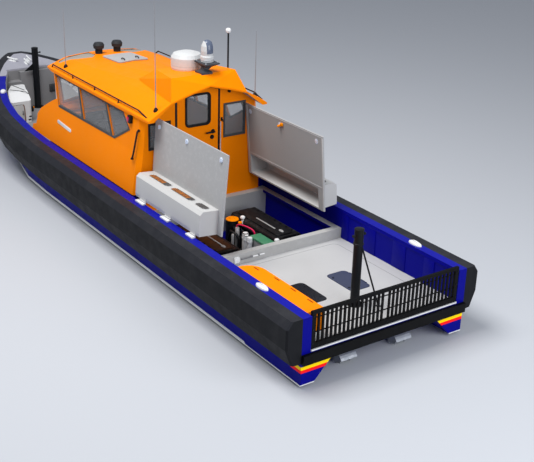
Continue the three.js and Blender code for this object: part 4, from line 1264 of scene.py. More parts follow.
@dataclass
class EngineRoom(Assembly):
    """Open bay with the engines' tops and what is piped round them."""

    engine_top: float = 0.53
    coaming_face: float = 2.5195
    rod: Pair = (2.503, 0.607)
    red_pipe: tuple[Point, ...] = (
        (3.675, -0.07, 0.5), (3.67, -0.075, 0.565), (3.62, -0.09, 0.592), (3.5, -0.13, 0.596), (3.4, -0.17, 0.575),
        (3.35, -0.185, 0.54), (3.345, -0.19, 0.48),
    )

    def build(self) -> None:
        """Dresses the bay's nodes and adds the engines' fittings."""
        self.dress("engine_coaming", COAMING_PALE, 0.006)
        self.accent("engine_coaming", HULL_BLUE, lambda face: face.normal.y > 0.9 and face.center.y < -0.8)
        self.dress("engines", ENGINE_DARK, 0.01)
        self.dress("engine_services", METAL_BLACK, 0.004)
        self.engines()
        self.services()
        self.coaming()

    def engines(self) -> None:
        """Adds cover plates, rocker covers, strips, oval plates and pipes to both engines."""
        bright, pipes = [], []
        for sign, (fore, aft), (ox, oy) in ((1, (3.569, 3.165), (3.13, 0.525)), (-1, (3.79, 3.27), (3.156, 0.559))):
            cover = seat((3.62, sign * 0.555, self.engine_top - 0.004))
            tops = [plate((1.16, 0.3, 0.026), 0.05, cover, 0.012, 3)]
            for k in range(7):
                at = seat((3.16 + 0.153 * k, sign * 0.69, self.engine_top - 0.002))
                tops.append(block((0.075, 0.14, 0.022), at, 0.008, 3))
                tops.append(stud(
                    (0.009, 0.008, 0.006, 0.011), seat((3.09 + 0.177 * k, sign * 0.425, self.engine_top + 0.019)), 6,
                ))
            side, finish = ("port", ENGINE_BROWN) if sign > 0 else ("starboard", ENGINE_DARK)
            self.add(f"engine_cover_{side}", tops, finish)
            bright.append(block(
                (fore - aft, 0.024, 0.008), seat(((fore + aft) / 2, sign * 0.523, self.engine_top + 0.022)), 0.003,
            ))
            bright.append(turned(
                [(0.055, 0), (0.055, 0.006), (0.048, 0.011), (0, 0.012)],
                seat((ox, sign * oy, self.engine_top + 0.021)), 28, 0.5,
            ))
            for z, r in ((0.46, 0.026), (0.34, 0.02)):
                run = [
                    (2.84, sign * 0.36, z), (2.9, sign * 0.315, z), (3.05, sign * 0.29, z), (3.6, sign * 0.285, z),
                    (4.1, sign * 0.285, z - 0.02), (4.25, sign * 0.32, z - 0.06),
                ]
                pipes.append(tube(run, r, 12))
            for k in range(6):
                at = seat((3.15 + 0.17 * k, sign * 0.305, 0.42), (0, -sign, 0))
                pipes.append(turned([(0.035, -0.02), (0.035, 0.01), (0.02, 0.02), (0, 0.02)], at, 16))
        self.add("engine_bright_plates", bright, ENGINE_STRIP)
        self.add("engine_pipes", pipes, METAL_BLACK)

    def services(self) -> None:
        """Adds the filters' jackets, the tank caps, the green-topped box and the red pipe."""
        sleeves = []
        for x, y, r, top in ((3.365, -0.03, 0.0495, 0.566), (3.285, 0.005, 0.0415, 0.561), (3.2, 0.0, 0.042, 0.556)):
            sleeves.append(turned(
                [(r, 0.0), (r, top - 0.256), (r - 0.004, top - 0.246), (r - 0.016, top - 0.2405), (0, top - 0.24)],
                seat((x, y, 0.242)), 28,
            ))
            sleeves.append(turned([(r + 0.004, 0), (r + 0.004, 0.02), (r, 0.024)], seat((x, y, 0.47)), 28))
        for x, y, z in ((3.904, -0.335, 0.535), (2.847, -0.258, 0.553)):
            ball = [
                (0.022, -0.2), (0.022, 0.0), (0.034, 0.006), (0.041, 0.022), (0.036, 0.042), (0.018, 0.054),
                (0.0, 0.057),
            ]
            sleeves.append(turned(ball, seat((x, y, z)), 24))
        self.add("filters_and_caps", sleeves, MOULDED_WHITE)
        disc = turned(
            [(0.104, 0), (0.106, 0.006), (0.1, 0.014), (0.05, 0.016), (0.045, 0.024), (0, 0.025)],
            seat((4.0, -0.2, 0.524)), 40,
        )
        knob = turned([(0.03, 0), (0.035, 0.01), (0.03, 0.026), (0, 0.028)], seat((3.84, -0.245, 0.5)), 20)
        self.add("tank_cap", [disc, knob], CAP_ORANGE)
        body = plate((0.424, 0.187, 0.41), 0.012, seat((3.06, -0.1435, 0.108)), 0.004, corner=3)
        self.add("service_box", body, LINER_GREY)
        lid = plate((0.43, 0.193, 0.03), 0.016, seat((3.06, -0.1435, 0.516)), 0.006, corner=3)
        clips = [block((0.03, 0.008, 0.04), seat((3.06 + dx, -0.0435, 0.49)), 0.002) for dx in (-0.12, 0.12)]
        self.add("service_box_lid", [lid, *clips], SERVICE_GREEN)
        small = [
            tube(
                [(3.5, 0.0, 0.2), (3.5, 0.0, 0.42), (3.56, 0.01, 0.47), (3.7, 0.02, 0.48), (3.76, 0.03, 0.3)], 0.022,
                12,
            ),
            tube([(3.7, -0.1, 0.14), (3.7, -0.1, 0.4), (3.77, -0.13, 0.44), (3.9, -0.16, 0.44)], 0.018, 12),
            block((0.12, 0.1, 0.3), seat((3.5, -0.1, 0.14)), 0.02, 3),
            block((0.5, 0.2, 0.06), seat((3.75, 0.1, 0.1)), 0.02, 3),
        ]
        self.add("bay_pipework", small, METAL_BLACK)
        canisters = [
            stud((r, top - 0.24, r - 0.006, top - 0.23, top - 0.228), seat((x, y, 0.23)), 24)
            for x, y, r, top in ((3.66, -0.075, 0.034, 0.535), (3.59, -0.03, 0.026, 0.53), (3.56, 0.075, 0.022, 0.49))
        ]
        self.add("bay_canisters", canisters, ENGINE_STRIP)
        self.add("coolant_pipe", tube(curve(self.red_pipe, 5), 0.012, 12), PIPE_RED)

    def coaming(self) -> None:
        """Adds the switch box and the stowed rod on the coaming's aft face."""
        box = plate((0.085, 0.085, 0.028), 0.012, wall((self.coaming_face, 0.69, 0.612), AFT), 0.006, 3)
        self.add("coaming_switch_box", box, MOULDED_WHITE)
        x, z = self.rod
        grip = [tube([(x, 0.61, z), (x, 0.43, z)], 0.011, 10)]
        for y in (0.43, 0.31):
            grip.append(block((0.03, 0.024, 0.026), wall((self.coaming_face, y, 0.609), AFT), 0.003))
        self.add("coaming_rod_grip", grip, GROOVE_DARK)
        self.add("coaming_rod", tube([(x, 0.445, z), (x, 0.21, z)], 0.0095, 10), MOULDED_WHITE)


@dataclass
class EngineLid(Assembly):
    """One raised engine lid with its vents, latches and lips."""

    side: str = "port"
    hinge: Pair = (1.241, 1.027)
    tilt: float = 85.2
    outer: float = -0.309
    inner: float = -0.333
    vents: tuple[Point, ...] = ((4.38, 3.8, 3.95), (3.72, 3.12, 3.24), (3.03, 2.74, 3.03))

    @property
    def sign(self) -> int:
        """Returns 1 for port and -1 for starboard."""
        return SIDES[self.side]

    @property
    def body(self) -> str:
        """Returns the name of the lid's CAD body and node."""
        return f"hatch_lid_{self.side}"

    def at(self, x: float, u: float, w: float) -> Point:
        """Places a point of a lid, told for the closed lid, on the open one.

        Args:
            x: Place along the boat.
            u: Distance inboard of the hinge line.
            w: Height above the hinge line.

        Returns:
            The point in the boat's frame.
        """
        a = radians(self.tilt)
        y = -u * cos(a) + w * sin(a)
        z = u * sin(a) + w * cos(a)
        return (x, self.sign * (self.hinge[0] + y), self.hinge[1] + z)

    def facing(self, u: float, w: float) -> Point:
        """Turns a direction of the closed lid to the open one."""
        a = radians(self.tilt)
        return (0.0, self.sign * (-u * cos(a) + w * sin(a)), u * sin(a) + w * cos(a))

    def build(self) -> None:
        """Dresses the lid and adds its fittings."""
        self.dress(self.body, LID_GREY, 0.006)
        back = self.facing(0, -1)
        # The inner face takes the darker copy of the lid grey, painted shade.
        self.accent(self.body, LID_INNER_PAINTED_SHADE, lambda face: face.normal.dot(back) > 0.7)
        self.accent(self.body, LID_PALE, lambda face: self.on_housing(face.center))
        self.vent_grilles()
        self.latches()
        self.lips()

    def on_housing(self, place: Vector) -> bool:
        """Tells whether a place is on the deep housing, and not on the flat plate.

        Args:
            place: The place, on the open lid.

        Returns:
            Whether it is on the housing.
        """
        a = radians(self.tilt)
        height = (self.sign * place.y - self.hinge[0]) * sin(a) + (place.z - self.hinge[1]) * cos(a)
        return height > self.outer + 0.02

    def vent_grilles(self) -> None:
        """Adds the louvred vents on the housing's inboard face."""
        frames, slats, wells, filters = [], [], [], []
        up = self.facing(1, 0)
        for fore, aft, change in self.vents:
            length = fore - aft
            middle = self.at((fore + aft) / 2, 0.3785, -0.165)
            at = seat(middle, up)
            ring = loop(rounded(length, 0.125, 0.06, 6), at, 0.001)
            frames.append(tube(ring, 0.006, 8, closed=True, flat=0.8))
            wells.append(plate((length - 0.008, 0.117, 0.0015), 0.056, at, corner=6))
            if fore - change > 0.1:
                place = seat(self.at((fore + change) / 2, 0.38, -0.165), up)
                filters.append(plate((fore - change - 0.03, 0.085, 0.001), 0.03, place))
            for k in range(5):
                across = -0.044 + 0.022 * k
                half = length / 2 - 0.02 - (0.03 if abs(across) > 0.03 else 0.0)
                slats.append(tube(loop([(-half, across), (half, across)], at, 0.004), 0.0048, 8))
            for k in range(1, int(length / 0.1)):
                x = -length / 2 + k * length / int(length / 0.1)
                slats.append(tube(loop([(x, -0.05), (x, 0.05)], at, 0.003), 0.0035, 8))
        self.add(f"lid_vent_frames_{self.side}", frames, LID_PALE, self.body)
        self.add(f"lid_vent_slats_{self.side}", slats, VENT_DARK, self.body)
        self.add(f"lid_vent_wells_{self.side}", wells, LINER_GREY, self.body)
        self.add(f"lid_vent_filters_{self.side}", filters, CAP_ORANGE, self.body)

    def latches(self) -> None:
        """Adds the turn latches on the outer face and their catches on the inner one."""
        out = self.facing(0, 1)
        back = self.facing(0, -1)
        bright, catches = [], []
        for x in (4.46, 3.647, 2.71):
            at = seat(self.at(x, 1.105, self.outer), out)
            bright.append(stud((0.038, 0.006, 0.031, 0.012, 0.013), at, 28))
            bright.append(block((0.016, 0.068, 0.018), at @ Matrix.Translation((0.0, 0, 0.008)), 0.004, 3))
            at = seat(self.at(x, 1.105, self.inner), back)
            catches.append(stud((0.04, 0.0018, 0.034, 0.0032, 0.0034), at, 24))
            catches.append(block((0.016, 0.06, 0.0042), at @ Matrix.Translation((0, -self.sign * 0.012, 0)), 0.0012, 3))
        self.add(f"lid_latches_{self.side}", bright, LATCH_STEEL, self.body)
        self.add(f"lid_catches_{self.side}", catches, LATCH_STEEL, self.body)
        if self.sign < 0:
            at = seat(self.at(3.575, 1.13, self.inner), back)
            tag = [
                block((0.06, 0.05, 0.03), at, 0.012, 3),
                stud((0.018, 0.05, 0.01, 0.06), at @ Matrix.Translation((0.05, 0.03, 0)), 16),
            ]
            self.add("lid_release", tag, CAP_ORANGE, self.body)
            dot = stud((0.016, 0.008, 0.01, 0.012), seat(self.at(2.76, 0.3785, -0.18), self.facing(1, 0)), 20)
            self.add("lid_vent_plug", dot, PLASTIC_BLACK, self.body)

    def lips(self) -> None:
        """Adds the stiffening lips and the seal round the lid's inner face."""
        back = self.facing(0, -1)
        at = seat(self.at(3.573, 0.79, self.inner), back)
        lip = tube(loop(rounded(1.99, 0.8, 0.02, 3), at, -0.0048), 0.009, 8, closed=True)
        self.add(f"lid_inner_lip_{self.side}", [lip], LID_GREY, self.body)
        strips = [
            plate((wide, 1.17, 0.004), 0.004, seat(self.at(x, 0.6, self.inner), back), 0.001, corner=2)
            for x, wide in ((2.569, 0.022), (4.56, 0.055))
        ]
        self.add(f"lid_edge_strips_{self.side}", strips, LID_PALE, self.body)


@dataclass
class Wheelhouse(Assembly):
    """Orange wheelhouse shell with its glazing, door furniture, rails and lamps."""

    aft_face: float = 4.618
    door_face: float = 4.612
    lean: Point = (0.0, 0.989, 0.15)

    def build(self) -> None:
        """Dresses the wheelhouse's nodes and adds its fittings."""
        for side, sign in SIDES.items():
            self.dress(f"wheelhouse_side_{side}", BODY_ORANGE, 0.006)
            self.dress(f"side_window_frame_{side}", FRAME_GREY, 0.003)
            # The frame's aft-facing reveals take the darker orange, painted shade.
            self.accent(f"side_window_frame_{side}", REVEAL_ORANGE_PAINTED_SHADE, lambda face: face.normal.x < -0.6)
            self.accent(f"wheelhouse_side_{side}", INNER_ORANGE, lambda face, s=sign: face.normal.y * s < -0.7)
            self.dress(f"side_glass_{side}", GLASS, 0.0)
            self.dress(f"skylight_{side}", SKYLIGHT_GLASS, 0.0)
        for node, edge in (
            ("wheelhouse_aft_bulkhead", 0.003), ("cabin_door", 0.004), ("wheelhouse_front", 0.004), ("roof", 0.012),
        ):
            self.dress(node, BODY_ORANGE, edge)
        self.accent("roof", CABIN_LINING, lambda face: face.normal.z < -0.7 and abs(face.center.y) < 0.95)
        self.accent("wheelhouse_aft_bulkhead", CABIN_LINING, lambda face: face.normal.x > 0.7)
        self.dress("windscreen_glass", GLASS, 0.0)
        for node in ("aft_window_port", "aft_window_starboard", "door_window"):
            self.dress(node, FRAME_GREY if node == "aft_window_starboard" else FRAME_BLACK, 0.003)
            self.glaze(node)
        self.door()
        self.side_fittings()
        self.aft_fittings()
        self.wipers()
        self.skylight_bars()

    def glaze(self, node: str) -> None:
        """Gives glass to the pane that a window's frame holds.

        Args:
            node: The window's node.
        """
        target = self.nodes[node]
        target.data.materials.append(GLASS.material(self.groups))
        low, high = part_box(node)
        for face in target.data.polygons:
            c = face.center
            inside = low.y + 0.028 < c.y < high.y - 0.028 and low.z + 0.028 < c.z < high.z - 0.028
            if inside and abs(face.normal.x) > 0.9 and c.x > low.x + 0.012:
                face.material_index = 1

    def door(self) -> None:
        """Adds the doorway's seal, the lever, the lock and the window's rubber."""
        x = self.aft_face - 0.001
        run = [
            (x, -0.318, 0.83), (x, -0.318, 2.508), (x, -0.15, 2.566), (x, 0.0, 2.577), (x, 0.11, 2.56), (x, 0.2, 2.53),
            (x, 0.46, 2.5), (x, 0.46, 0.83),
        ]
        self.add("doorway_seal", tube(run, 0.022, 10, flat=0.5), PLASTIC_BLACK)
        face = self.door_face
        rose = stud((0.036, 0.008, 0.03, 0.014, 0.015), wall((face, -0.205, 1.825), AFT), 28)
        neck = tube([(face, -0.205, 1.825), (face - 0.045, -0.205, 1.825)], 0.014, 12)
        lever = tube(
            [(face - 0.045, -0.215, 1.825), (face - 0.048, -0.14, 1.828), (face - 0.045, -0.065, 1.824)], 0.019, 14,
            flat=0.75,
        )
        lock = turned(
            [(0.036, 0), (0.036, 0.01), (0.03, 0.018), (0.022, 0.015), (0, 0.015)], wall((face, -0.188, 1.733), AFT),
            28,
        )
        self.add("door_lever", [rose, neck, lever, lock], PLASTIC_BLACK, "cabin_door")
        at = wall((face - 0.009, 0.0725, 2.2175), AFT)
        rubber = tube(loop(rounded(0.445, 0.515, 0.068, 6), at), 0.011, 10, closed=True)
        self.add("door_window_rubber", rubber, PLASTIC_BLACK, "cabin_door")
        plates = []
        for z in (1.1, 1.75, 2.3):
            plates.append(plate((0.05, 0.11, 0.004), 0.008, wall((face, 0.405, z), AFT), 0.001, corner=3))
            plates.append(tube([(face - 0.001, 0.43, z - 0.055), (face - 0.001, 0.43, z + 0.055)], 0.007, 12))
        self.add("door_hinges", plates, BODY_ORANGE, "cabin_door")

    def side_fittings(self) -> None:
        """Adds the white name plate left blank, the navigation lights and the grab rails."""
        for side, sign in SIDES.items():
            out = (0.0, sign * self.lean[1], self.lean[2])
            at = wall((7.286, sign * 1.1565, 1.389), out)
            tilt = at @ Matrix.Rotation(radians(-3.5 * sign), 4, "Z")
            self.add(f"blank_plate_{side}", plate((0.56, 0.062, 0.003), 0.03, tilt, 0.001, corner=6), MOULDED_WHITE)
            lamp_at = wall((4.925, sign * 1.0665, 2.132), (0.0, sign, 0.1))
            housing = [
                plate((0.085, 0.12, 0.055), 0.014, lamp_at, 0.01, 3),
                plate((0.09, 0.012, 0.062), 0.005, lamp_at @ Matrix.Translation((0, 0.056, 0)), 0.003, corner=2),
            ]
            self.add(f"nav_lamp_{side}", housing, PLASTIC_BLACK)
            ball = turned(
                [(0.034, -0.035), (0.036, -0.02), (0.037, 0.0), (0.036, 0.02), (0.034, 0.035)],
                seat((4.965, sign * 1.102, 2.132)), 24,
            )
            self.add(f"nav_lens_{side}", ball, LAMP_RED if sign > 0 else LAMP_GREEN)
            rail = [
                (4.684, sign * 1.078, 2.015), (4.662, sign * 1.115, 2.01), (4.668, sign * 1.125, 1.955),
                (4.72, sign * 1.168, 1.635),
                (4.745, sign * 1.178, 1.575), (4.775, sign * 1.172, 1.55), (4.795, sign * 1.136, 1.547),
            ]
            feet = [
                turned([(0.022, 0), (0.022, 0.006), (0.014, 0.009)], seat(at, normal), 20)
                for at, normal in (
                    ((4.684, sign * 1.08, 2.015), (-0.71, sign * 0.71, 0.07)), ((4.795, sign * 1.1345, 1.547), out),
                )
            ]
            self.add(f"corner_rail_{side}", [tube(curve(rail, 4), 0.0145, 12), *feet], METAL_BLACK)

    def aft_fittings(self) -> None:
        """Adds the deck lamp, the door's guide bar and its hold-back on the aft bulkhead."""
        x = self.aft_face
        lamp = turned([(0.022, 0), (0.024, 0.02), (0.02, 0.036), (0, 0.04)], wall((x, -0.5, 2.445), AFT), 24)
        bar = tube([(x - 0.006, -0.352, 1.24), (x - 0.006, -0.352, 1.96)], 0.007, 10)
        self.add("door_guide_bar", bar, LATCH_STEEL)
        hook = tube(
            [(x, -0.372, 2.0), (x - 0.03, -0.372, 2.0), (x - 0.04, -0.372, 1.985), (x - 0.04, -0.372, 1.965)], 0.007,
            10,
        )
        pad = plate((0.035, 0.06, 0.005), 0.006, wall((x, -0.372, 2.0), AFT), 0.001, corner=3)
        self.add("aft_lamp_and_hook", [lamp, hook, pad], PLASTIC_BLACK)

    def wipers(self) -> None:
        """Adds two parked wipers on the windscreen's middle panel."""
        parts = []
        for sign in (1, -1):
            pivot = Vector((7.842, sign * 0.06, 1.695))
            tip = Vector((7.945, sign * 0.31, 2.06))
            parts.append(tube([pivot, pivot + Vector((0.035, 0, -0.01))], 0.014, 12))
            elbow = pivot.lerp(tip, 0.12) + Vector((0.034, 0, -0.012))
            parts.append(tube([pivot + Vector((0.035, 0, -0.01)), elbow, tip - Vector((0.01, 0, 0))], 0.0065, 8))
            low = pivot.lerp(tip, 0.4) - Vector((0.02, 0, 0))
            parts.append(tube([low, tip + (tip - pivot) * 0.08 - Vector((0.026, 0, 0))], 0.008, 8))
        self.add("windscreen_wipers", parts, METAL_BLACK)

    def skylight_bars(self) -> None:
        """Adds the orange bar under each skylight and its rubber rim."""
        outline = ((8.12, 0.25), (8.11, 0.64), (8.08, 0.85), (7.96, 0.9), (7.74, 0.64), (7.63, 0.4), (7.8, 0.27))
        for side, sign in SIDES.items():
            bar = tube([(7.79, sign * 0.5, 2.375), (8.09, sign * 0.62, 2.352)], 0.014, 8)
            self.add(f"skylight_bar_{side}", bar, BODY_ORANGE)
            rim = [(x, sign * y, self.roof_top(x, y) - 0.006) for x, y in outline]
            self.add(f"skylight_rim_{side}", tube(rim, 0.007, 8, closed=True), FRAME_BLACK)

    @staticmethod
    def roof_top(x: float, y: float) -> float:
        """Finds the height of the roof's outer face.

        Args:
            x: Place along the boat.
            y: Distance from the centre line.

        Returns:
            The height.
        """
        rows = (
            (4.369, (1.075, 2.236), (0.688, 2.468), (0.38, 2.563), 2.655),
            (4.558, (1.092, 2.253), (0.688, 2.468), (0.38, 2.56), 2.648),
            (6.88, (1.092, 2.262), (0.69, 2.436), (0.38, 2.476), 2.496),
            (7.87, (1.084, 2.262), (0.731, 2.396), (0.38, 2.428), 2.436),
            (8.17, (1.032, 2.236), (0.688, 2.362), (0.38, 2.392), 2.404),
        )
        k = max(i for i in range(len(rows) - 1) if rows[i][0] <= x or i == 0)
        t = (x - rows[k][0]) / (rows[k + 1][0] - rows[k][0])
        line = [(0.0, rows[k][4] + (rows[k + 1][4] - rows[k][4]) * t)]
        for i in (3, 2, 1):
            line.append(tuple(a + (b - a) * t for a, b in zip(rows[k][i], rows[k + 1][i])))
        for (y0, z0), (y1, z1) in zip(line, line[1:]):
            if y <= y1:
                return z0 + (z1 - z0) * (y - y0) / (y1 - y0)
        return line[-1][1]


@dataclass
class RoofGear(Assembly):
    """What stands on the wheelhouse roof."""

    radome: Point = (5.07, 0.0, 2.74)
    camera: Point = (4.64, -0.11, 2.955)
    aerial: Pair = (4.75, -0.565)

    def build(self) -> None:
        """Dresses the roof gear's nodes and adds its detail."""
        self.dress("roof_hatch", LID_GREY, 0.006)
        for side in SIDES:
            self.dress(f"roof_rail_{side}", METAL_BLACK, 0.0)
            self.dress(f"searchlight_{side}", LAMP_HOUSING, 0.006, crisp=50)
        self.dress("radome", RADOME_WHITE, 0.012, crisp=24, steps=3)
        self.dress("camera_pedestal", PEDESTAL_GREY, 0.005)
        self.dress("camera_turret", RADOME_WHITE, 0.006, crisp=40)
        self.dress("aerial", METAL_BLACK, 0.0, crisp=50)
        for node in ("whip_fore", "whip_aft_port", "whip_aft_starboard"):
            self.whip(node)
        self.hatch()
        self.radar()
        self.camera_head()
        self.searchlights()
        self.aerials()
        self.rail_feet()

    def whip(self, node: str) -> None:
        """Gives a whip aerial a black foot and a pale rod.

        Args:
            node: The aerial's node.
        """
        self.dress(node, PLASTIC_BLACK, 0.0, crisp=50)
        target = self.nodes[node]
        target.data.materials.append(WHIP_GREY.material(self.groups))
        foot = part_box(node)[0].z + 0.1
        for face in target.data.polygons:
            if face.center.z > foot:
                face.material_index = 1

    def hatch(self) -> None:
        """Adds the roof hatch's two handles and a raised rim."""
        handles = []
        for y in (0.15, -0.12):
            z = 2.4995 if y > 0 else 2.5025
            points = [
                (6.9, y, z), (6.905, y, z + 0.03), (6.93, y, z + 0.036), (6.99, y, z + 0.034), (7.015, y, z + 0.026),
                (7.02, y, z - 0.004),
            ]
            handles.append(tube(points, 0.009, 10))
            for x, dz in ((6.9, 0.0), (7.02, -0.005)):
                handles.append(turned([(0.02, 0), (0.02, 0.005), (0.012, 0.008)], seat((x, y, z + dz - 0.001)), 20))
        self.add("roof_hatch_handles", handles, PLASTIC_BLACK, "roof_hatch")
        rim = []
        for x, y in rounded(0.58, 0.47, 0.05, 6):
            rim.append((7.17 + x, y, Wheelhouse.roof_top(7.17 + x, abs(y)) + 0.0245))
        self.add("roof_hatch_rim", tube(rim, 0.004, 8, closed=True), LID_GREY, "roof_hatch")

    def radar(self) -> None:
        """Adds the radome's seam and its foot."""
        x, y, z = self.radome
        seam = turned([(0.252, 0.1), (0.2526, 0.1008), (0.2526, 0.1032), (0.252, 0.104)], seat((x, y, z)), 64)
        foot = turned([(0.2, 0.002), (0.238, 0.006), (0.24, 0.02), (0.237, 0.024)], seat((x, y, z + 0.012)), 48)
        self.add("radome_seam", seam, SEAM_SHADE)
        self.add("radome_foot", foot, PEDESTAL_GREY)

    def camera_head(self) -> None:
        """Adds the turret's dark window, its collar and the pedestal's bolts."""
        x, y, z = self.camera
        pane = skin(
            self.nodes["camera_turret"],
            [
                ((0, y + 0.052, 0), (0, 1, 0)), ((0, y - 0.06, 0), (0, -1, 0)), ((0, 0, z + 0.14), (0, 0, -1)),
                ((x + 0.012, 0, 0), (1, 0, 0)),
            ],
            lambda n: n.x < 0.3, 0.003,
        )
        self.add("camera_window", pane, CAMERA_PANE, "camera_turret")
        collar = turned([(0.1015, 0), (0.1045, 0.003), (0.1045, 0.012), (0.1025, 0.015)], seat((x, y, z + 0.03)), 40)
        self.add("camera_collar", collar, SEAM_SHADE, "camera_turret")
        spots = [seat((x + sx * 0.135, y + sy * 0.1, z - 0.0005)) for sx in (1, -1) for sy in (1, -1)]
        self.add("camera_bolts", [stud((0.012, 0.007, 0.008, 0.01), at, 6) for at in spots], STEEL)

    def searchlights(self) -> None:
        """Adds each searchlight's lens, bezel and cooling ribs."""
        for side in SIDES:
            body = f"searchlight_{side}"
            low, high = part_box(body)
            middle = (low + high) / 2
            top = high.z
            lens_at = wall((middle.x + 0.086, middle.y, top - 0.075), (1, 0, 0))
            bezel = turned([(0.05, -0.02), (0.052, 0.0), (0.05, 0.012), (0.042, 0.0145), (0.04, 0.008)], lens_at, 32)
            ribs = [bezel]
            for k in range(5):
                ring_z = top - 0.196 + 0.012 * k + 0.012
                ribs.append(turned(
                    [(0.06, 0), (0.0665, 0.002), (0.0665, 0.005), (0.06, 0.007)], seat((middle.x, middle.y, ring_z)),
                    32,
                ))
            self.add(f"searchlight_trim_{side}", ribs, LAMP_HOUSING, body)
            lens = stud((0.041, 0.006, 0.03, 0.011, 0.013), lens_at, 32)
            self.add(f"searchlight_lens_{side}", lens, SCREEN_GLASS, body)

    def aerials(self) -> None:
        """Adds the white head on the mast and the mast's foot."""
        x, y = self.aerial
        head = turned(
            [(0.016, -0.004), (0.036, 0.01), (0.0435, 0.04), (0.032, 0.067), (0.0, 0.0755)], seat((x, y, 3.34)), 28,
        )
        self.add("mast_head", head, MOULDED_WHITE)
        foot = turned([(0.03, 0), (0.03, 0.01), (0.018, 0.05), (0.0155, 0.06)], seat((x, y, 2.69)), 20)
        self.add("mast_foot", foot, METAL_BLACK)

    def rail_feet(self) -> None:
        """Adds the small foot plates under the eave rails."""
        for side, sign in SIDES.items():
            feet = []
            for x in (7.06, 6.23, 5.39):
                at = seat((x, sign * 1.055, Wheelhouse.roof_top(x, 1.055)), (0, sign * 0.43, 0.9))
                feet.append(turned([(0.02, 0), (0.02, 0.004), (0.012, 0.008)], at, 20))
            self.add(f"rail_feet_{side}", feet, METAL_BLACK)


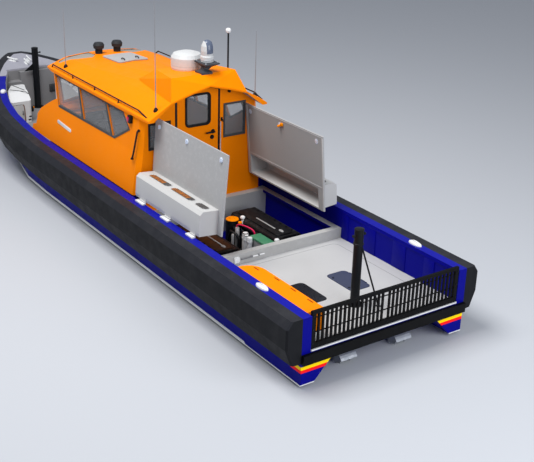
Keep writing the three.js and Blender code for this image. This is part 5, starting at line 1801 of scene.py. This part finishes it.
@dataclass
class Foredeck(Assembly):
    """Open foredeck well with its lockers, steps, post and cleats."""

    deck: float = 0.545
    locker_face: float = 10.3197
    post_x: float = 11.24
    cleats: tuple[Point, ...] = ((11.87, 0.25, 40.0), (11.8, -0.08, 0.0), (11.66, 0.03, 0.0))

    def build(self) -> None:
        """Dresses the foredeck's nodes and adds its fittings."""
        self.dress("foredeck_liner", LINER_GREY, 0.006)
        self.dress("bow_step", LINER_GREY, 0.02, steps=3)
        self.dress("bow_towing_post", METAL_BLACK, 0.004)
        for side in SIDES:
            self.dress(f"bow_locker_{side}", MOULDED_WHITE, 0.05, steps=5)
        self.lockers()
        self.fittings()
        self.post()

    def lockers(self) -> None:
        """Adds each locker's door, its edge strip, handle and lashings."""
        for side, sign in SIDES.items():
            face = self.locker_face
            door = plate((0.25, 0.36, 0.005), 0.035, wall((face, sign * 0.795, 0.745), AFT), 0.003)
            self.add(f"locker_door_{side}", door, LOCKER_SHADE)
            ring = [(face - 0.001, sign * y + sign * 0.795, z + 0.745) for y, z in rounded(0.262, 0.372, 0.04)]
            self.add(f"locker_door_seam_{side}", tube(ring, 0.004, 8, closed=True), GROOVE_DARK)
            edge = [
                (face - 0.002, sign * 0.69, 0.915), (face - 0.004, sign * 0.668, 0.885),
                (face - 0.004, sign * 0.66, 0.8), (face - 0.004, sign * 0.655, 0.58),
            ]
            self.add(f"locker_edge_strip_{side}", tube(edge, 0.0085, 8), LOCKER_EDGE)
            handle = [
                plate((0.03, 0.09, 0.008), 0.012, wall((face - 0.005, sign * 0.7, 0.76), AFT), 0.003, corner=4),
                tube(
                    [
                        (face - 0.012, sign * 0.7, 0.73), (face - 0.024, sign * 0.7, 0.76),
                        (face - 0.012, sign * 0.7, 0.79),
                    ],
                    0.006, 8,
                ),
            ]
            self.add(f"locker_handle_{side}", handle, LINER_GREY)
            lashings = []
            for (x0, y0), (x1, y1) in (((11.117, 0.606), (10.66, 0.4735)), ((10.84, 0.78), (10.54, 0.494))):
                path = [
                    (x0, sign * (y0 + 0.002), 0.98), (x0, sign * (y0 + 0.002), 1.07),
                    (x0 - 0.01, sign * (y0 - 0.03), 1.1135),
                    (x1 + 0.02, sign * (y1 + 0.03), 1.1135), (x1, sign * (y1 - 0.008), 1.08),
                    (x1 - 0.005, sign * (y1 - 0.012), 0.9),
                ]
                lashings.append(tube(path, 0.0065, 8))
            self.add(f"locker_lashings_{side}", lashings, PLASTIC_BLACK)

    def fittings(self) -> None:
        """Adds the step's bracket, the locker's vents, the lamp and the cleats."""
        bracket = []
        for y in (-0.33, -0.41):
            bracket.append(tube([(11.311, y, 0.84), (11.28, y, 0.85), (11.28, y, 0.95), (11.311, y, 0.96)], 0.011, 8))
        bracket.append(plate((0.13, 0.17, 0.006), 0.01, wall((11.3109, -0.37, 0.895), AFT), 0.002, corner=3))
        self.add("well_bracket", bracket, FRAME_GREY)
        side_face = wall((10.39, 0.4975, 0.79), (-0.161, -0.987, 0))
        housing = plate((0.06, 0.1, 0.045), 0.012, side_face, 0.008, 3)
        self.add("well_lamp", housing, PLASTIC_BLACK)
        lens = stud((0.022, 0.012, 0.014, 0.02, 0.022), side_face @ Matrix.Translation((0.0, 0.03, 0.043)), 20)
        self.add("well_lamp_lens", lens, CAP_ORANGE)
        spots = [wall((self.locker_face, y, z), AFT) for y, z in ((0.548, 0.665), (0.566, 0.6))]
        self.add("well_vents", [plate((0.062, 0.022, 0.006), 0.009, at, 0.002, corner=3) for at in spots], METAL_BLACK)
        cleats = []
        for x, y, turn in self.cleats:
            z, turn = Hull.sheer(x), radians(turn)
            base = seat((x, y, z - 0.002), (-0.16, 0, 0.987), (cos(turn), sin(turn), 0))
            cleats.append(plate((0.17, 0.075, 0.012), 0.03, base, 0.004))
            for dx in (-0.035, 0.035):
                cleats.append(
                    turned([(0.022, 0.006), (0.017, 0.022), (0.017, 0.042)], base @ Matrix.Translation((dx, 0, 0)), 16)
                )
            ends = [
                base @ Vector(p) for p in ((-0.115, 0, 0.058), (-0.07, 0, 0.05), (0.07, 0, 0.05), (0.115, 0, 0.058))
            ]
            cleats.append(tube(ends, 0.0175, 12))
        self.add("bow_cleats", cleats, MOULDED_WHITE)

    def post(self) -> None:
        """Adds the bow post's cap, pin ends and base bolts."""
        x = self.post_x
        parts = [post_cap(0.069, (x, 0, 1.7935))]
        for sign in (1, -1):
            parts.append(turned(
                [(0.012, 0), (0.02, 0.003), (0.021, 0.012), (0.014, 0.018), (0, 0.018)],
                seat((x, sign * 0.105, 1.703), (0, sign, 0)), 20,
            ))
        for a in turns(8, 0.5):
            if cos(a) < 0.6:
                at = seat((x + 0.092 * cos(a), 0.092 * sin(a), self.deck + 0.014))
                parts.append(turned([(0.012, 0), (0.012, 0.009), (0.0, 0.012)], at, 6))
        self.add("bow_post_fittings", parts, METAL_BLACK)


@dataclass
class Pad:
    """One kind of seat cushion, swollen by a short cloth simulation and then sewn."""

    label: str
    size: Point
    crown: float
    cap: float
    voxel: float = 0.006
    pressure: float = 4.0
    frames: int = 20
    cover: Mesh | None = None
    seam: list[Vector] = field(default_factory=list)

    def build(self) -> "Pad":
        """Makes the cover and its seam line, at the world's origin.

        Returns:
            The pad itself.
        """
        self.cover = self.form(tuple(0.965 * side for side in self.size), self.crown)
        self.swell()
        for vert in self.cover.verts:
            across = 2 * vert.co.y / self.size[1]
            if vert.co.z > 0.6 * self.size[2]:
                vert.co.z -= 0.006 * exp(-(((abs(across) - 0.5) / 0.06) ** 2))
        self.cover.normal_update()
        tree = BVHTree.FromBMesh(self.cover)
        height = 0.62 * self.size[2]
        for a in turns(56):
            ahead = Vector((cos(a), sin(a), 0.0))
            hit = tree.ray_cast(Vector((0, 0, height)) + ahead, -ahead)[0]
            if hit is not None:
                self.seam.append(hit)
        return self

    def swell(self) -> None:
        """Remeshes the cover evenly and blows it up as cloth, with no point moving past the cap."""
        scene = bpy.context.scene
        data = bpy.data.meshes.new("swelling")
        self.cover.to_mesh(data)
        pad = bpy.data.objects.new("swelling", data)
        scene.collection.objects.link(pad)
        remesh = pad.modifiers.new("even", "REMESH")
        remesh.mode = "VOXEL"
        remesh.voxel_size = self.voxel
        even = bpy.data.meshes.new_from_object(pad.evaluated_get(bpy.context.evaluated_depsgraph_get()))
        pad.modifiers.clear()
        pad.data = even
        cloth = pad.modifiers.new("cloth", "CLOTH")
        cloth.settings.use_pressure = True
        cloth.settings.uniform_pressure_force = self.pressure
        cloth.settings.effector_weights.gravity = 0.0
        cloth.point_cache.frame_start = 1
        cloth.point_cache.frame_end = self.frames
        for frame in range(1, self.frames + 1):
            scene.frame_set(frame)
        swollen = bpy.data.meshes.new_from_object(pad.evaluated_get(bpy.context.evaluated_depsgraph_get()))
        self.cover.clear()
        self.cover.from_mesh(swollen)
        for vert, start in zip(self.cover.verts, even.vertices):
            move = vert.co - start.co
            if move.length > self.cap:
                vert.co = start.co + move * (self.cap / move.length)
        bpy.data.objects.remove(pad)
        for mesh in (data, even, swollen):
            bpy.data.meshes.remove(mesh)
        scene.frame_set(1)

    @staticmethod
    def form(size: Point, crown: float) -> Mesh:
        """Makes a crowned cushion whose sides pull in between its corners.

        Args:
            size: Length, width and thickness.
            crown: How far its top rises in the middle.

        Returns:
            The closed mesh.
        """
        bm = bmesh.new()
        cells = 12
        tops, foots = {}, {}
        for i in range(cells + 1):
            for j in range(cells + 1):
                u, v = 2 * i / cells - 1, 2 * j / cells - 1
                pull = 1 - 0.035 * (1 - v * v)
                pull_y = 1 - 0.035 * (1 - u * u)
                x, y = u * size[0] / 2 * pull, v * size[1] / 2 * pull_y
                dome = (1 - u**4) * (1 - v**4)
                z = size[2] * (0.62 + 0.38 * dome**0.4) + crown * (1 - u * u) * (1 - v * v)
                tops[i, j] = bm.verts.new((x, y, z))
                foots[i, j] = bm.verts.new((x * 0.985, y * 0.985, size[2] * 0.12 * (1 - dome**0.3)))
        for i in range(cells):
            for j in range(cells):
                bm.faces.new((tops[i, j], tops[i + 1, j], tops[i + 1, j + 1], tops[i, j + 1]))
                bm.faces.new((foots[i, j], foots[i, j + 1], foots[i + 1, j + 1], foots[i + 1, j]))
        rim = [(i, 0) for i in range(cells)] + [(cells, j) for j in range(cells)]
        rim += [(i, cells) for i in range(cells, 0, -1)] + [(0, j) for j in range(cells, 0, -1)]
        for k, a in enumerate(rim):
            b = rim[(k + 1) % len(rim)]
            bm.faces.new((tops[a], foots[a], foots[b], tops[b]))
        bmesh.ops.recalc_face_normals(bm, faces=bm.faces)
        bmesh.ops.subdivide_edges(bm, edges=list(bm.edges), cuts=1, use_grid_fill=True, smooth=0.6)
        return bm


@dataclass
class Cabin(Assembly):
    """Inside of the wheelhouse: padded seats, helm and screens."""

    seat_rows: Pair = (6.5, 5.5)
    sole: float = 0.3003

    def build(self) -> None:
        """Dresses the helm and stands padded seats in for the plain ones."""
        self.dress("dashboard", CABIN_GREY, 0.02, steps=3)
        self.seats()
        self.helm()

    def seats(self) -> None:
        """Builds each pair of seats: a pedestal frame, and a crowned cushion, back and headrest."""
        pads = {
            label: Pad(label, size, crown, cap).build()
            for label, size, crown, cap in (
                ("squab", (0.46, 0.46, 0.12), 0.022, 0.012),
                ("back", (0.52, 0.44, 0.1), 0.02, 0.012),
                ("headrest", (0.15, 0.28, 0.08), 0.012, 0.006),
            )
        }
        for side, sign in SIDES.items():
            metal = []
            y = sign * 0.54
            metal.append(block((1.6, 0.08, 0.04), seat((6.0, y, self.sole)), 0.008))
            for x in self.seat_rows:
                metal.append(turned(
                    [(0.11, 0), (0.11, 0.03), (0.06, 0.06), (0.055, 0.3), (0.06, 0.46), (0.1, 0.495)],
                    seat((x, y, self.sole + 0.02)), 28,
                ))
                metal.append(block((0.42, 0.4, 0.03), seat((x + 0.01, y, self.sole + 0.49)), 0.01))
                for edge in (1, -1):
                    metal.append(tube(
                        [
                            (x - 0.2, y + edge * 0.235, self.sole + 0.72),
                            (x + 0.05, y + edge * 0.235, self.sole + 0.76),
                            (x + 0.14, y + edge * 0.235, self.sole + 0.74),
                        ],
                        0.018, 10,
                    ))
                    metal.append(tube(
                        [(x - 0.21, y + edge * 0.2, self.sole + 0.5), (x - 0.23, y + edge * 0.2, self.sole + 1.0)],
                        0.014, 10,
                    ))
            frame = self.add(f"seat_frames_{side}", metal, METAL_BLACK)
            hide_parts(f"seats_{side}")
            for row, x in zip(("fore", "aft"), self.seat_rows):
                piping = []
                for pad, at in (
                    (pads["squab"], seat((x + 0.015, y, self.sole + 0.515))),
                    (pads["back"], seat((x - 0.215, y, self.sole + 0.9), (1, 0, 0.12), (0, 0, 1))),
                    (pads["headrest"], seat((x - 0.23, y, self.sole + 1.25), (1, 0, 0.12), (0, 0, 1))),
                ):
                    cover = pad.cover.copy()
                    cover.transform(at)
                    piece = self.add(f"seat_{pad.label}_{row}_{side}", cover, SEAT_CLOTH, crisp=60)
                    piping.append(tube([at @ place for place in pad.seam], 0.0045, 8, closed=True))
                self.add(f"seat_piping_{row}_{side}", piping, SEAT_PIPING)
        for pad in pads.values():
            pad.cover.free()

    def helm(self) -> None:
        """Adds the screens, the wheel, the throttles and the orange dash top."""
        screens, rims = [], []
        for y, width in ((0.62, 0.36), (0.2, 0.36), (-0.24, 0.4), (-0.68, 0.36)):
            at = wall((7.205, y, 1.485), (-0.66, 0, 0.75))
            rims.append(plate((width, 0.21, 0.02), 0.02, at, 0.006))
            screens.append(plate((width - 0.05, 0.165, 0.003), 0.008, at @ Matrix.Translation((0, 0, 0.02)), 0.001))
        self.add("helm_bezels", rims, PLASTIC_BLACK)
        self.add("helm_screens", screens, SCREEN_GLASS)
        hub = seat((7.0, 0.54, 1.28), (-0.85, 0, 0.5))
        ring = tube(loop([(0.17 * cos(a), 0.17 * sin(a)) for a in turns(28)], hub, 0.03), 0.012, 10, closed=True)
        spokes = [
            ring, stud((0.04, 0.03, 0.02, 0.04), hub, 24),
            tube([(7.07, 0.54, 1.24), hub @ Vector((0, 0, 0.01))], 0.022, 12),
        ]
        for k in range(3):
            a = radians(90 + 120 * k)
            spokes.append(
                tube([hub @ Vector((0, 0, 0.02)), hub @ Vector((0.165 * cos(a), 0.165 * sin(a), 0.03))], 0.009, 8)
            )
        for y in (0.0, 0.07):
            spokes.append(tube([(7.1, y, 1.38), (7.03, y, 1.47), (7.01, y, 1.52)], 0.011, 10))
        self.add("helm_controls", spokes, PLASTIC_BLACK)
        top = plate((0.28, 1.9, 0.012), 0.03, seat((7.42, 0, 1.561)), 0.005)
        self.add("dash_top", top, SHADE_ORANGE)


@dataclass
class JetDrives(Assembly):
    """Twin waterjets under the transom."""

    spacing: float = 0.475
    axis: float = 0.01

    def build(self) -> None:
        """Dresses the jets and adds their flange bolts, ribs and bucket pin caps."""
        for side, sign in SIDES.items():
            for node, edge in (("jet_unit", 0.006), ("jet_nozzle", 0.004), ("jet_bucket", 0.003)):
                self.dress(f"{node}_{side}", JET_ALLOY, edge, crisp=40)
            y = sign * self.spacing
            spots = [wall((0.744, y + 0.235 * cos(a), self.axis + 0.235 * sin(a)), AFT) for a in turns(10, 0.5)]
            self.add(f"jet_flange_bolts_{side}", [stud((0.013, 0.009, 0.009, 0.013), at, 6) for at in spots], STEEL)
            ribs = []
            for a in turns(6):
                direction = Vector((0, cos(a + 0.3), sin(a + 0.3)))
                ends = [Vector((x, y, self.axis)) + direction * reach for x, reach in ((0.62, 0.165), (0.73, 0.205))]
                ribs.append(tube(ends, 0.012, 8))
            self.add(f"jet_ribs_{side}", ribs, JET_ALLOY)
            spots = [wall((0.3, y + edge * 0.134, self.axis), (0, edge, 0)) for edge in (1, -1)]
            caps = [stud((0.024, 0.005, 0.012, 0.008), at, 20) for at in spots]
            self.add(f"bucket_pin_caps_{side}", caps, STEEL, f"jet_bucket_{side}")


@dataclass(frozen=True)
class Studio:
    """Camera at the photograph's angle, pale floor at the waterline and soft lights."""

    focal_pixels: float = 1027.314
    frame_pixels: int = 534
    eye: Point = (-8.6759, 8.1174, 6.8639)
    heading: float = -0.6176975
    dip: float = 0.4067678
    roll: float = 0.0302187

    def build(self) -> None:
        """Sets up the camera, the floor, the world and the lights."""
        scene = bpy.context.scene
        scene.view_settings.view_transform = "Standard"
        scene.view_settings.look = "None"
        self.camera()
        self.floor()
        self.world()
        for name, place, size, power, tint in (
            ("key", (4.5, 5.2, 15.0), 8.0, 2400.0, (1.0, 0.985, 0.96)),
            ("fill", (-9.0, -2.0, 6.0), 9.0, 950.0, (0.96, 0.98, 1.0)),
        ):
            self.lamp(name, place, size, power, tint)

    def camera(self) -> None:
        """Places the camera where the photograph was taken from."""
        level = Vector((sin(self.heading), -cos(self.heading), 0.0))
        ahead = Vector((cos(self.heading) * cos(self.dip), sin(self.heading) * cos(self.dip), -sin(self.dip)))
        up = level.cross(ahead)
        right = level * cos(self.roll) + up * sin(self.roll)
        up = up * cos(self.roll) - level * sin(self.roll)
        data = bpy.data.cameras.new("photo_view")
        data.sensor_width = 36.0
        data.lens = self.focal_pixels * 36.0 / self.frame_pixels
        data.clip_end = 200.0
        camera = bpy.data.objects.new("photo_view", data)
        camera.matrix_world = Matrix.Translation(Vector(self.eye)) @ Matrix((right, up, -ahead)).transposed().to_4x4()
        bpy.context.scene.collection.objects.link(camera)
        bpy.context.scene.camera = camera

    def floor(self) -> None:
        """Lays the plain pale floor at the waterline."""
        bm = bmesh.new()
        bmesh.ops.create_grid(bm, x_segments=1, y_segments=1, size=60.0)
        data = bpy.data.meshes.new("floor")
        bm.to_mesh(data)
        bm.free()
        floor = bpy.data.objects.new("floor", data)
        bpy.context.scene.collection.objects.link(floor)
        made = bpy.data.materials.new("Pale floor")
        made.use_nodes = True
        shader = made.node_tree.nodes["Principled BSDF"]
        shader.inputs["Base Color"].default_value = (0.5, 0.52, 0.56, 1)
        shader.inputs["Roughness"].default_value = 0.8
        data.materials.append(made)

    def world(self) -> None:
        """Fills the surroundings with an even pale sky."""
        world = bpy.data.worlds.new("studio")
        bpy.context.scene.world = world
        world.use_nodes = True
        back = world.node_tree.nodes["Background"]
        back.inputs["Color"].default_value = (0.86, 0.91, 1.0, 1)
        back.inputs["Strength"].default_value = 0.42

    def lamp(self, name: str, place: Point, size: float, power: float, tint: Colour) -> None:
        """Adds a soft area light that looks at the boat's middle.

        Args:
            name: The light's name.
            place: Where it hangs.
            size: Its side.
            power: Its power.
            tint: Its colour.
        """
        data = bpy.data.lights.new(name, "AREA")
        data.size = size
        data.energy = power
        data.color = tint
        light = bpy.data.objects.new(name, data)
        light.location = place
        light.rotation_mode = "QUATERNION"
        light.rotation_quaternion = (Vector((5.0, 0.0, 0.8)) - Vector(place)).to_track_quat("-Z", "Y")
        bpy.context.scene.collection.objects.link(light)


def main() -> None:
    """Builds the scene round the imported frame."""
    logging.basicConfig(level=logging.INFO, format="%(name)s: %(message)s")
    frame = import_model()
    Studio().build()
    kit = (frame["nodes"], ShaderGroups())
    lids = [EngineLid(*kit, side=side) for side in SIDES]
    parts = [Hull(*kit), AftDeck(*kit), EngineRoom(*kit), *lids, Wheelhouse(*kit), RoofGear(*kit), Foredeck(*kit)]
    for part in (*parts, Cabin(*kit), JetDrives(*kit)):
        part.build()
        LOG.info("%s is finished", type(part).__name__)


if __name__ == "__main__":
    main()
